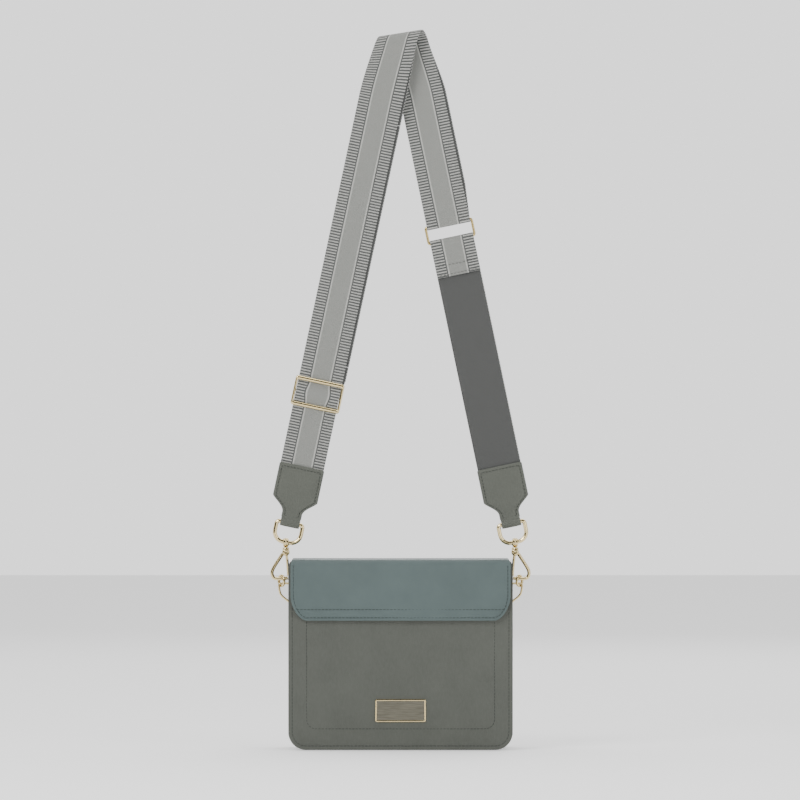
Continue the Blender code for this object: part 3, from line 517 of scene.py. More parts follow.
def curve_between(first, last, side, steps=14):
    """Points between a straight leg and the bend, curving in the plane of the webbing."""
    (start, across_start), (end, across_end) = first, last
    reach = (end - start).length / 3
    slope = Vector((-math.sin(LEAN[side]) * side, 0, math.cos(LEAN[side])))
    steep = Vector((-math.sin(1.25 * LEAN[side]) * side, 0, math.cos(1.25 * LEAN[side])))
    if side < 0:
        controls = (start, start + slope * reach, end - steep * reach, end)
    else:
        controls = (start, start - steep * reach, end + slope * reach, end)
    found = []
    for step in range(1, steps):
        t = step / steps
        weights = ((1 - t) ** 3, 3 * t * (1 - t) ** 2, 3 * t * t * (1 - t), t ** 3)
        point = sum((control * weight for control, weight in zip(controls, weights)), Vector())
        found.append((point, across_start.lerp(across_end, t)))
    return found


def over_the_top(front_end, rear_start, radius):
    """Webbing from the top of the left leg over the peg to the top of the right leg."""
    tilted = Vector((math.cos(TOP_TILT), 0, math.sin(TOP_TILT)))
    bend = []
    for step in range(31):
        turn = step / 30
        angle = math.pi * (1 - turn)
        x = (-4 + 9 * turn) * MM
        height = -PEG_RADIUS + radius * math.sin(angle)
        bend.append((Vector((x, radius * math.cos(angle), height)), tilted))
    return curve_between(front_end, bend[0], -1) + bend + curve_between(bend[-1], rear_start, 1)


def band_section(width, thickness):
    """The outline of a strip's section: (across, out of the face, and the place on the UV map)."""
    half, edge = width / 2, thickness / 2
    columns = 16
    face = [(-half + edge + (width - 2 * edge) * k / columns, edge) for k in range(columns + 1)]
    rim = [(math.sin(a) * edge, math.cos(a) * edge) for a in (math.pi * k / 4 for k in (1, 2, 3))]
    right = [(half - edge + u, v) for u, v in rim]
    left = [(-u, v) for u, v in right][::-1]
    return face, right, [(u, -v) for u, v in face[::-1]], left


def webbing_band(name, route, face=1, width=WEB_WIDTH, thickness=WEB, body="strap"):
    """Webbing along a route of (middle, across) places. Its patterned face is to the left of the way up.

    UVs are in millimetres: across the width, plus 100 on the reverse, and along the length.
    """
    sections = band_section(width, thickness)
    outline = [(u, v * face, back) for back, points in enumerate(sections) for u, v in points]
    bm = bmesh.new()
    layer = bm.loops.layers.uv.new("UVMap")
    rows, lengths, total = [], [], 0.0
    for k, (centre, across) in enumerate(route):
        before, after = route[max(k - 1, 0)][0], route[min(k + 1, len(route) - 1)][0]
        along = (after - before).normalized()
        across = across.normalized()
        out = across.cross(along).normalized()
        total += (centre - route[max(k - 1, 0)][0]).length
        lengths.append(total)
        rows.append([bm.verts.new(centre + across * u + out * v) for u, v, _ in outline])
    count = len(outline)
    for k, (row, after) in enumerate(zip(rows, rows[1:])):
        for p in range(count):
            q = (p + 1) % count
            made = bm.faces.new((row[p], row[q], after[q], after[p]))
            reverse = 100.0 if outline[p][2] == 2 and outline[q][2] in (2, 3) else 0.0
            for loop, (corner, share) in zip(made.loops, ((p, k), (q, k), (q, k + 1), (p, k + 1))):
                u = (outline[corner][0] + width / 2) / MM
                loop[layer].uv = (u + reverse, lengths[share] / MM)
    for row, back in ((rows[0], True), (rows[-1], False)):
        bm.faces.new(row[::-1] if back else row)
    made = new_piece(name, bm, "webbing", 50)
    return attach(made, body) if body else made


def make_long_webbing():
    layer = PITCH / 2
    outer, inner = PEG_RADIUS + GAP + WEB / 2 + PITCH, PEG_RADIUS + GAP + WEB / 2
    radius = RING_WIRE + GAP + WEB / 2
    left_front = leg_route(-1, WEB_END, LEG_LENGTH, 0)
    rear_lift = leg_route(1, LEG_LENGTH, RING_ALONG + 40 * MM, -layer, REAR_LAYER_SHIFT)
    at_ring = wrap(1, RING_ALONG + RING_HALF, radius, 180, 360)
    front_rise = leg_route(1, RING_ALONG + 40 * MM, LEG_LENGTH, layer)
    route = left_front + over_the_top(left_front[-1], rear_lift[0], outer) + rear_lift
    route += eased(rear_lift[-1], at_ring[0]) + at_ring
    route += eased(at_ring[-1], front_rise[0]) + front_rise
    inner_end = leg_route(-1, LEG_LENGTH, LEG_LENGTH - 20 * MM, -PITCH, REAR_LAYER_SHIFT)
    route += over_the_top(inner_end[0], front_rise[-1], inner)[::-1] + inner_end
    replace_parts(webbing_band("strap_webbing", route), "long_webbing", "inner_webbing")


def make_return_webbing():
    """The layer that a slide gathers, from near the top of the left leg down to the slider; it is baked in
    place and moves with no body.
    """
    top, low = LEG_LENGTH - 20 * MM - GAP, SLIDER_ALONG + 30 * MM
    route = leg_route(-1, top, low, -PITCH, REAR_LAYER_SHIFT)
    made = webbing_band("gathered_webbing", route, body=None)
    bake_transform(made)
    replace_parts(made, "return_webbing")


def make_end_loop():
    rod = SLIDER_ROD + GAP + WEB / 2
    depth = PITCH + rod
    down = leg_route(-1, SLIDER_ALONG + 30 * MM - GAP, SLIDER_ALONG + 17 * MM, -PITCH, REAR_LAYER_SHIFT)
    inside = leg_route(-1, SLIDER_ALONG + 7 * MM, SLIDER_ALONG + 3 * MM, -PITCH)
    around = []
    for step in range(21):
        angle = math.radians(360 - 9 * step)
        around.append((up_the_leg(-1, SLIDER_ALONG + rod * math.sin(angle), 0, rod * math.cos(angle) - depth),
                       leg_across(-1)))
    up = leg_route(-1, SLIDER_ALONG + 20 * MM, SLIDER_ALONG + 27 * MM, -LOOP_END_BACK, REAR_LAYER_SHIFT)
    route = down + eased(down[-1], inside[0], 6) + inside + around + eased(around[-1], up[0]) + up
    made = webbing_band("slider_loop", route, body="slider")
    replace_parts(made, "webbing_end_loop")
    behind = -LOOP_END_BACK - WEB / 2 - 0.1 * MM
    rows = [leg_line(-1, SLIDER_ALONG + reach * MM, 17 * MM, behind, REAR_LAYER_SHIFT)
            for reach in (21, 25)]
    stitched("slider_loop_stitches", rows, "webbing_thread", "slider")


def leg_line(side, along, half, forward, shift=0.0):
    """A straight line across a leg of the strap."""
    return [up_the_leg(side, along, shift + x, forward) for x in (-half, half)]


def make_short_webbing():
    turn = wrap(1, RING_ALONG - RING_HALF, RING_WIRE + GAP + WEB / 2, 180, 0)
    run = leg_route(1, WEB_END, RING_ALONG - 50 * MM, 0)
    fold_forward = PITCH / 2 + 0.5 * MM
    fold = leg_route(1, RING_ALONG - 28 * MM, RING_ALONG - 40 * MM, fold_forward)
    route = run + eased(run[-1], turn[0]) + turn + eased(turn[-1], fold[0]) + fold
    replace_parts(webbing_band("ring_webbing", route, face=-1), "short_webbing")
    rows = [leg_line(1, RING_ALONG - reach * MM, 18 * MM, fold_forward + WEB / 2 + 0.1 * MM)
            for reach in (29.5, 38)]
    stitched("ring_webbing_stitches", rows, "webbing_thread", "strap")


def make_slider_hump():
    """The webbing swells forward through the slider's window."""
    half_run, columns, rows = 11.6 * MM, 32, 24
    tucked, swell = WEB / 2 + 0.22 * MM, 3.8 * MM
    bm = bmesh.new()
    layer = bm.loops.layers.uv.new("UVMap")
    uvs = {}

    def point(u, v, back):
        reach = math.cos(v * math.pi / 2) ** 2
        crown = 1 - 0.25 * u ** 4
        forward = tucked + swell * reach * crown - (0.9 * MM * reach + 0.12 * MM if back else 0)
        across = u * (WEB_WIDTH / 2 - 0.1 * MM)
        made = bm.verts.new(up_the_leg(-1, SLIDER_ALONG + v * half_run, across, forward))
        uvs[made] = (20 + 20 * u * (1 - 0.15 * reach), (SLIDER_ALONG + v * half_run) / MM + 1.2)
        return made

    sheets = [[[point(2 * c / columns - 1, 2 * r / rows - 1, back) for c in range(columns + 1)]
               for r in range(rows + 1)] for back in (False, True)]
    for sheet in sheets:
        for row, above in zip(sheet, sheet[1:]):
            for c in range(columns):
                bm.faces.new((row[c], row[c + 1], above[c + 1], above[c]))
    front, rear = sheets
    rims = [(front[0], rear[0]), (front[-1], rear[-1])]
    rims += [([row[end] for row in front], [row[end] for row in rear]) for end in (0, -1)]
    for near, far in rims:
        for k in range(len(near) - 1):
            bm.faces.new((near[k], near[k + 1], far[k + 1], far[k]))
    for face in bm.faces:
        for loop in face.loops:
            loop[layer].uv = uvs[loop.vert]
    made = new_piece("webbing_swell", bm, "webbing", 60)
    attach(made, "slider")


make_long_webbing()
make_return_webbing()
make_end_loop()
make_short_webbing()
make_slider_hump()


# Leather tabs ------------------------------------------------------------------------------------

TAB_HALF = 41 * MM / 2
TAB_NECK_HALF = 18 * MM / 2
TAB_SHOULDER = 22.5 * MM
TAB_NECK_TOP = 9 * MM
TAB_FACE = WEB / 2 + GAP + LEATHER
TAB_LOW = 2.5 * MM  # where the faces run into the loop
TAB_LOOP_RADIUS = 3.8 * MM


def tab_half_width(along):
    """Half the tab's width at a height up the leg: a neck, a hollow shoulder and straight sides."""
    if along >= TAB_SHOULDER:
        corner = max(along - (TAB_TOP - 1.5 * MM), 0)
        return TAB_HALF - (1.5 * MM - math.sqrt(max((1.5 * MM) ** 2 - corner ** 2, 0)))
    if along <= TAB_NECK_TOP:
        return TAB_NECK_HALF
    share = (TAB_SHOULDER - along) / (TAB_SHOULDER - TAB_NECK_TOP)
    smooth = math.sin(share * math.pi / 2) ** 1.3
    return TAB_NECK_HALF + (TAB_HALF - TAB_NECK_HALF) * (1 - smooth)


def tab_point(side, across, along, forward):
    return up_the_leg(side, along, across, forward)


def make_tab(side):
    """Two leathers over the webbing's end, and a loop at the neck round the bar of the D-ring."""
    name = side_name(side)
    pieces = []
    for face in (1, -1):
        def place(c, r, face=face):
            along = TAB_LOW + (TAB_TOP - TAB_LOW) * r
            half = tab_half_width(along) - 0.2 * MM
            across = face * half * (2 * c - 1)
            edge = min(half - abs(across), TAB_TOP - along)
            pressed = 0.35 * MM * math.exp(-((edge - SEAM_INSET) / (0.9 * MM)) ** 2)
            softened = 0.25 * MM * max(1 - edge / (1.5 * MM), 0) ** 2
            flare = 0.5 * MM * max(1 - (along - TAB_LOW) / (9 * MM), 0) ** 2
            return tab_point(side, across, along, face * (TAB_FACE - pressed - softened + flare))

        pieces.append(grid("tab_leather", 40, 44, place, "tab_leather", 1.15 * MM))

    def around(c, r):
        angle = math.radians(50 - 280 * r)
        across = (TAB_NECK_HALF - 0.2 * MM) * (1 - 2 * c)
        reach = TAB_LOOP_RADIUS - 0.25 * MM * (2 * c - 1) ** 4
        return tab_point(side, across, reach * math.sin(angle), reach * math.cos(angle))

    pieces.append(grid("tab_loop", 16, 40, around, "tab_leather", 1.1 * MM))
    tab = joined("tab_piece_" + name, pieces, "tab_leather")
    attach(tab, "strap")
    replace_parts(tab, "tab_" + name)
    make_tab_edge(side, name)
    inset = SEAM_INSET
    seam_low = TAB_NECK_TOP - 3 * MM
    alongs = [seam_low + k * MM for k in range(int((TAB_TOP - TAB_NECK_TOP + 3 * MM - inset) / MM) + 1)]
    for face, where in ((1, "front"), (-1, "rear")):
        reach = face * (TAB_FACE - 0.05 * MM)
        left = [tab_point(side, -tab_half_width(a) + inset, a, reach) for a in alongs]
        right = [tab_point(side, tab_half_width(a) - inset, a, reach) for a in alongs[::-1]]
        neck = [tab_point(side, x, alongs[0], reach) for x in (-TAB_NECK_HALF + inset, TAB_NECK_HALF - inset)]
        stitched(f"tab_stitches_{name}_{where}", [left + right, neck], "panel_thread", "strap",
                 2.3 * MM, 0.8 * MM, 0.27 * MM)


def make_tab_edge(side, name):
    """The painted edge that closes the two leathers of a tab, as one strip."""
    alongs = [4.6 * MM + (TAB_TOP - 4.7 * MM) * k / 60 for k in range(61)]
    outline = [(tab_half_width(a) - 0.15 * MM, a) for a in alongs]
    outline += [(-x, a) for x, a in outline[::-1]]
    thick = TAB_FACE - 0.35 * MM

    def place(c, r):
        x, along = outline[min(int(round(r * (len(outline) - 1))), len(outline) - 1)]
        bulge = 0.35 * MM * math.sin(math.pi * c)
        return tab_point(side, x + math.copysign(bulge, x), along, thick * (1 - 2 * c))

    edge = grid("tab_edge_" + name, 6, len(outline) - 1, place, "edge_paint", 0.5 * MM)
    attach(edge, "strap")


def side_name(side):
    return "left" if side < 0 else "right"


# Bag ---------------------------------------------------------------------------------------------


def panel_half(height, half, low, high, bottom, top):
    """Half the width of a rectangle with round corners, at this height."""
    if height < low + bottom:
        drop = low + bottom - height
        return half - bottom + math.sqrt(max(bottom ** 2 - drop ** 2, 0))
    if height > high - top:
        rise = height - (high - top)
        return half - top + math.sqrt(max(top ** 2 - rise ** 2, 0))
    return half


def heights(low, high, bottom, top, straight=48, corner=14):
    """Heights for a sheet's rows, close together in its round corners."""
    found = [low + bottom * (1 - math.cos(math.pi / 2 * k / corner)) for k in range(corner)]
    found += [low + bottom + (high - top - low - bottom) * k / straight for k in range(straight)]
    found += [high - top + top * math.sin(math.pi / 2 * k / corner) for k in range(corner + 1)]
    return found


def outline_of(half, low, high, bottom, top, steps=10):
    """A closed rectangle with round corners, as (x, height) points, from the middle of its lower edge."""
    corners = ((half - bottom, low + bottom, bottom, -90), (half - top, high - top, top, 0),
               (-half + top, high - top, top, 90), (-half + bottom, low + bottom, bottom, 180))
    found = [(0.0, low)]
    for x, z, radius, start in corners:
        for k in range(steps + 1):
            angle = math.radians(start + 90 * k / steps)
            found.append((x + radius * math.cos(angle), z + radius * math.sin(angle)))
    return found + [(0.0, low)]


def on_face(points, y):
    return [above_base(x, y, z) for x, z in points]


def with_thickness(sheet, offset, below=10.0):
    """Thickens a sheet of leather, rounds its rim and paints it, up to a height above the base."""
    thick = sheet.modifiers.new("thickness", "SOLIDIFY")
    thick.thickness, thick.offset = LEATHER, offset
    bevel = sheet.modifiers.new("rim", "BEVEL")
    bevel.width, bevel.segments, bevel.limit_method = 0.35 * MM, 3, "ANGLE"
    bevel.angle_limit = math.radians(60)
    apply_modifiers(sheet)
    sheet.data.shade_smooth()
    sheet.data.set_sharp_from_angle(angle=math.radians(60))
    sheet.data.materials.append(MATERIALS["edge_paint"])
    for face in sheet.data.polygons:
        sideways = abs(face.normal.y) < 0.45
        if sideways and (face.center.z < BASE + below or abs(face.normal.x) > 0.7):
            face.material_index = 1


def make_panel(name, y, outward):
    """One face of the bag: leather, a little pressed along its seam, with a painted edge."""
    half, corner = BAG_WIDTH / 2, PANEL_CORNER
    rows = heights(0, PANEL_HEIGHT, corner, 3 * MM, 60)

    def place(c, r):
        height = rows[min(int(round(r * (len(rows) - 1))), len(rows) - 1)]
        width = panel_half(height, half, 0, PANEL_HEIGHT, corner, 3 * MM)
        x = width * (2 * c - 1)
        edge = min(width - abs(x), height, PANEL_HEIGHT - height)
        pressed = 0.3 * MM * math.exp(-((edge - 3.5 * MM) / (1.3 * MM)) ** 2)
        waver = 0.12 * MM * math.sin(x * 60) * math.sin(height * 47)
        proud = waver * min(edge / (20 * MM), 1)
        return above_base(x, y - outward * (pressed - 0.15 * MM) + outward * proud, height)

    panel = grid(name, 90, len(rows) - 1, place, "panel_leather", 0, 0)
    with_thickness(panel, outward)
    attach(panel, "bag")
    return panel


def make_bag_body():
    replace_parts(make_panel("front_face", FRONT, -1), "front_panel")
    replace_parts(make_panel("rear_face", REAR, 1), "rear_panel")
    inset = 3.5 * MM
    seam = outline_of(BAG_WIDTH / 2 - inset, inset, PANEL_HEIGHT - inset, PANEL_CORNER - inset, 2 * MM)
    pocket = [(-85 * MM, 150 * MM), (-85 * MM, 27.5 * MM)]
    pocket += [(-76.5 * MM + 8.5 * MM * math.cos(a), 27.5 * MM + 8.5 * MM * math.sin(a))
               for a in (math.pi + math.pi / 2 * k / 8 for k in range(9))]
    pocket += [(-x, z) for x, z in pocket[::-1]]
    stitched("front_seam", [on_face(seam, FRONT - 0.02 * MM)], "panel_thread", "bag")
    stitched("pocket_seam", [on_face(pocket, FRONT - 0.12 * MM)], "panel_thread", "bag", 2.3 * MM)
    stitched("rear_seam", [on_face(seam, REAR + 0.02 * MM)], "panel_thread", "bag")
    make_gusset()


def make_gusset():
    """The strip between the panels: down one side, under the bag and up the other."""
    half_depth = (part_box("gusset")[1].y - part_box("gusset")[0].y) / 2
    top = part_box("gusset")[1].z - BASE
    corner = PANEL_CORNER - 2 * MM
    line = [(-GUSSET_X, top)]
    line += [(-GUSSET_X, top - (top - GUSSET_RECESS - corner) * k / 24) for k in range(1, 24)]
    line += [(-GUSSET_X + corner - corner * math.cos(a), GUSSET_RECESS + corner - corner * math.sin(a))
             for a in (math.pi / 2 * k / 12 for k in range(13))]
    line += [(-x, z) for x, z in line[::-1]]

    def place(c, r):
        x, z = line[min(int(round(r * (len(line) - 1))), len(line) - 1)]
        y = half_depth * (2 * c - 1)
        return above_base(x, y, z)

    gusset = grid("gusset_leather", 20, len(line) - 1, place, "panel_leather", 1.35 * MM, 0.3 * MM)
    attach(gusset, "bag")
    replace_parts(gusset, "gusset")


# Flap --------------------------------------------------------------------------------------------

FLAP_BEND = 5 * MM
BACK_BEND = 2 * MM
FLAP_CORNER = Vector((14.5 * MM, 22 * MM))  # how far in and up a lower corner is cut back
FLAP_CORNER_CURVE = 1.7  # 2 would be an ellipse, 1 a straight cut
FLAP_CROSS_SEAM_HEIGHT = 127 * MM


def flap_half(height, inset=0.0):
    """Half the flap's width at a height: its lower corners are cut back in a long, flat curve."""
    drop = 1 - (height - FLAP_EDGE_HEIGHT - inset) / (FLAP_CORNER.y - inset)
    curve = FLAP_CORNER_CURVE
    cut = (1 - max(1 - max(drop, 0) ** curve, 0) ** (1 / curve)) * (FLAP_CORNER.x - inset)
    return FLAP_WIDTH / 2 - inset - cut


def flap_path():
    """The flap's outer line in (y, height), from its sewn edge over the top to its lower front edge."""
    back, front = FLAP_BACK_Y, FLAP_FRONT_Y
    rise = FLAP_TOP - BACK_BEND * 2 - FLAP_BACK_HEIGHT
    path = [(back, FLAP_BACK_HEIGHT + rise * k / 14) for k in range(14)]
    path += [(back - 2 * BACK_BEND * (1 - math.cos(a)), FLAP_TOP - 2 * BACK_BEND * (1 - math.sin(a)))
             for a in (math.pi / 2 * k / 10 for k in range(11))]
    start, end = back - 2 * BACK_BEND, front + FLAP_BEND
    path += [(start + (end - start) * k / 40, FLAP_TOP) for k in range(1, 40)]
    path += [(end - FLAP_BEND * math.sin(a), FLAP_TOP - FLAP_BEND * (1 - math.cos(a)))
             for a in (math.pi / 2 * k / 14 for k in range(15))]
    low, top = FLAP_EDGE_HEIGHT, FLAP_TOP - FLAP_BEND
    fall = [z for z in heights(low, top, FLAP_CORNER.y, 1e-6, 14, 20) if z < top - 1e-5]
    path += [(front, z) for z in fall[::-1]]
    return path


def make_flap():
    path = flap_path()
    half = FLAP_WIDTH / 2

    def place(c, r):
        index = min(int(round(r * (len(path) - 1))), len(path) - 1)
        y, height = path[index]
        front = y <= FLAP_FRONT_Y + FLAP_BEND
        width = half - 1.5 * MM * max(1 - (FLAP_TOP - height) / FLAP_BEND, 0) ** 2
        if front:
            width += flap_half(height) - half
        x = width * (2 * c - 1)
        drape = 0.0
        if front:
            drape = min((FLAP_TOP - height) / (50 * MM), 1)
        fall = 0.35 * MM * math.sin(x * 38 + 0.6) * drape
        edge = min(width - abs(x), height - FLAP_EDGE_HEIGHT if front else 1)
        pressed = 0.14 * MM * math.exp(-((edge - SEAM_INSET) / (1.0 * MM)) ** 2) if front else 0
        return above_base(x, y - fall + pressed, height)

    flap = grid("flap_leather_sheet", 96, len(path) - 1, place, "flap_leather", 0, 0)
    with_thickness(flap, 1, FLAP_TOP - FLAP_BEND)
    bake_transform(flap)
    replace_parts(flap, "flap_cover", "flap_back")
    inset = SEAM_INSET
    levels = heights(FLAP_EDGE_HEIGHT + inset, FLAP_TOP - FLAP_BEND, FLAP_CORNER.y, 1e-6, 4, 16)[::-1]
    right = [(flap_half(z, inset), z) for z in levels]
    around = [(-x, z) for x, z in right] + right[::-1]
    y = FLAP_FRONT_Y - 0.05 * MM
    level = [(x, FLAP_CROSS_SEAM_HEIGHT) for x in (-half + 5 * MM, half - 5 * MM)]
    stitched("flap_edge_seam", [on_face(around, y)], "flap_thread", "flap")
    stitched("flap_cross_seam", [on_face(level, y)], "flap_thread", "flap")


# Metal pieces ------------------------------------------------------------------------------------


PIN_RISE = -9 * MM  # the gate's pin, from the lower wire of the D-ring
SIDE_RING_RADIUS = 4.7 * MM  # to the middle of its wire
SIDE_RING_WIRE = 1.2 * MM
SIDE_RING_TURN = math.radians(32)


def make_metal():
    """The strap ring, the D-rings and the swivel eyes, with the melted edges of castings and bent wire."""
    fuller = {"strap_ring": 0.15}
    for side in (-1, 1):
        name = side_name(side)
        for piece, more in (("d_ring", 0.25), ("swivel_eye", 0.1)):
            fuller[f"{piece}_{name}"] = more
    for node, more in fuller.items():
        finish = "dark_gold" if node == "strap_ring" else "gold"
        piece = soft_copy(node, node + "_metal", finish, 0.22 * MM, more * MM)
        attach(piece, NODES[node]["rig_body"])
        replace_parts(piece, node)


def turned_piece(name, profile, axis, centre, finish="gold", steps=40):
    """A profile of (radius, distance along the axis) pairs turned about X, Y or Z."""
    bm = bmesh.new()
    rings = []
    for radius, along in profile:
        ring = []
        for k in range(steps):
            a = 2 * math.pi * k / steps
            u, v = radius * math.cos(a), radius * math.sin(a)
            offset = {"X": (along, u, v), "Y": (u, along, v), "Z": (u, v, along)}[axis]
            ring.append(bm.verts.new(centre + Vector(offset)))
        rings.append(ring)
    for ring, after in zip(rings, rings[1:]):
        for k in range(steps):
            bm.faces.new((ring[k - 1], ring[k], after[k], after[k - 1]))
    if profile[0] != profile[-1]:
        bm.faces.new(rings[0])
        bm.faces.new(rings[-1])
    else:
        bmesh.ops.remove_doubles(bm, verts=bm.verts, dist=1e-7)
    return new_piece(name, bm, finish, 35)


def hook_point(side, outward, forward, rise):
    """A point of a swivel hook, from the swivel's axis at the lower wire of the D-ring."""
    base = up_the_leg(side, -D_RING_HEIGHT)
    return Vector((base.x + side * outward, -forward, base.z + rise))


def make_swivel(side):
    """The barrel on the D-ring and the tapered neck that turns in the hook's head."""
    name = side_name(side)
    middle = hook_point(side, 0, 0, -0.15 * MM)
    inner, outer, half = 2.0 * MM, 3.9 * MM, 2.5 * MM
    ring = [(inner, -half), (outer - 0.6 * MM, -half), (outer, -half + 0.7 * MM), (outer, half - 0.7 * MM),
            (outer - 0.6 * MM, half), (inner, half), (inner, -half)]
    barrel = turned_piece("barrel", ring, "X", middle)
    neck = [(2.4 * MM, -3.4 * MM), (1.7 * MM, -4.15 * MM), (1.7 * MM, -4.3 * MM)]
    neck = turned_piece("neck", neck, "Z", middle)
    collar = joined("swivel_" + name, [barrel, neck], "gold")
    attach(collar, "d_ring_" + name)


def make_rivet(side):
    """The head of the pin that the gate turns on, at the front and the back of the hook; its slot is drawn as
    a round dip.
    """
    name = side_name(side)
    half = 3.45 * MM
    for face in (1, -1):
        base = hook_point(side, 0, face * half, PIN_RISE)
        dome = [(2.5 * MM, 0), (2.7 * MM, 0.25 * MM), (2.6 * MM, 0.7 * MM), (2.2 * MM, 0.95 * MM),
                (1.7 * MM, 0.98 * MM), (1.5 * MM, 0.75 * MM), (0.6 * MM, 0.7 * MM), (0.05 * MM, 0.7 * MM)]
        rivet = turned_piece(f"rivet_{name}_{'front' if face > 0 else 'rear'}",
                             [(r, -face * d) for r, d in dome], "Y", base)
        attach(rivet, "hook_" + name)
        if face > 0:
            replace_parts(rivet, "gate_pin_" + name)


def round_wire(name, points, radius, finish="gold"):
    """A round wire along a smooth line, as a mesh."""
    curve = bpy.data.curves.new(name, "CURVE")
    curve.dimensions = "3D"
    curve.bevel_depth, curve.bevel_resolution, curve.use_fill_caps = radius, 6, True
    spline = curve.splines.new("NURBS")
    spline.points.add(len(points) - 1)
    for point, spot in zip(spline.points, points):
        point.co = (*spot, 1)
    spline.use_endpoint_u, spline.order_u, spline.resolution_u = True, 3, 8
    holder = bpy.data.objects.new(name, curve)
    bpy.context.scene.collection.objects.link(holder)
    bpy.context.view_layer.update()
    data = bpy.data.meshes.new_from_object(holder.evaluated_get(bpy.context.evaluated_depsgraph_get()))
    bpy.data.objects.remove(holder)
    bm = bmesh.new()
    bm.from_mesh(data)
    bmesh.ops.remove_doubles(bm, verts=bm.verts, dist=1e-6)
    return new_piece(name, bm, finish, 50)


def make_hook(side):
    """A bent wire hook whose head is two cheeks round the gate's knuckle, and the gate itself."""
    name = side_name(side)
    cheeks = []
    for face in (1, -1):
        near, far = face * 1.55 * MM, face * 3.3 * MM
        profile = [(0.05 * MM, near), (3.1 * MM, near), (3.4 * MM, near * 1.2), (3.4 * MM, far * 0.85),
                   (3.0 * MM, far), (0.05 * MM, far)]
        cheeks.append(turned_piece("cheek", profile, "Y", hook_point(side, 0, 0, PIN_RISE)))
    collar = [(0.05 * MM, -4.7 * MM), (2.6 * MM, -4.7 * MM), (3.0 * MM, -5.2 * MM), (3.1 * MM, -6.9 * MM),
              (0.05 * MM, -6.9 * MM)]
    cheeks.append(turned_piece("collar", collar, "Z", hook_point(side, 0, 0, 0)))
    spine = [(2.9, -10.4), (4.6, -13.0), (8.6, -19.0), (11.4, -23.6), (12.6, -26.4), (12.6, -29.6),
             (11.2, -32.4), (8.4, -33.2), (6.0, -33.2), (4.0, -33.2), (2.2, -33.1), (0.4, -32.8),
             (-1.8, -32.4)]
    cheeks.append(round_wire("spine", [hook_point(side, u * MM, 0, v * MM) for u, v in spine], 1.55 * MM))
    hook = joined("hook_metal_" + name, cheeks, "gold")
    arm = [(-0.5, -10.6), (-1.3, -17.0), (-1.9, -24.0), (-2.3, -30.3)]
    gate = [round_wire("arm", [hook_point(side, u * MM, 0, v * MM) for u, v in arm], 1.25 * MM)]
    knuckle = [(0.05 * MM, -1.2 * MM), (1.9 * MM, -1.2 * MM), (1.9 * MM, 1.2 * MM), (0.05 * MM, 1.2 * MM)]
    gate.append(turned_piece("knuckle", knuckle, "Y", hook_point(side, 0, 0, PIN_RISE)))
    gate = joined("gate_metal_" + name, gate, "gold")
    for piece, node in ((hook, "hook_" + name), (gate, "gate_" + name)):
        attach(piece, node)
        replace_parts(piece, node)


def make_side_ring(side):
    """The ring between hook and bridge, which hangs a little turned towards the front."""
    name = side_name(side)
    low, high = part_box("side_ring_" + name)
    middle = (low + high) / 2
    turn = SIDE_RING_TURN * side
    radius, points = SIDE_RING_RADIUS, []
    for k in range(49):
        a = 2 * math.pi * k / 48
        y = radius * math.cos(a)
        points.append(middle + Vector((y * math.sin(turn), y * math.cos(turn), radius * math.sin(a))))
    ring = round_wire("side_ring_metal_" + name, points, SIDE_RING_WIRE)
    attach(ring, "side_ring_" + name)
    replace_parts(ring, "side_ring_" + name)


def make_slider():
    """The frame in front of the webbing, its lugs, and the rod that the loop is sewn round."""
    outer = outline_of(22.6 * MM, -13.6 * MM, 13.6 * MM, 2.4 * MM, 2.4 * MM, 6)[1:-1]
    inner = outline_of(20.3 * MM, -9.9 * MM, 9.9 * MM, 1.0 * MM, 1.0 * MM, 6)[1:-1]
    section = ((0, 0.97), (0, 2.0), (0.08, 2.6), (0.28, 3.05), (0.5, 3.2), (0.72, 3.05), (0.92, 2.6),
               (1, 2.0), (1, 0.97), (0, 0.97))
    bm = bmesh.new()
    rings = []
    for share, forward in section:
        points = [Vector(a).lerp(Vector(b), share) for a, b in zip(outer, inner)]
        rings.append([bm.verts.new(up_the_leg(-1, SLIDER_ALONG + p.y, p.x, forward * MM)) for p in points])
    for ring, after in zip(rings, rings[1:]):
        for k in range(len(ring)):
            bm.faces.new((ring[k - 1], ring[k], after[k], after[k - 1]))
    bmesh.ops.remove_doubles(bm, verts=bm.verts, dist=1e-6)
    pieces = [new_piece("frame", bm, "gold", 50)]
    depth = PITCH + SLIDER_ROD + GAP + WEB / 2
    rod = [up_the_leg(-1, SLIDER_ALONG, x * MM, -depth) for x in (-21.4, 0, 21.4)]
    pieces.append(round_wire("rod", rod, SLIDER_ROD, "dark_gold"))
    for x in (-21.4, 21.4):
        lug = [up_the_leg(-1, SLIDER_ALONG, x * MM, forward) for forward in (2 * MM, -depth / 2, -depth)]
        pieces.append(round_wire("lug", lug, 0.8 * MM, "dark_gold"))
    slider = joined("slider_metal", pieces, "gold")
    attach(slider, "slider")
    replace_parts(slider, "slider")


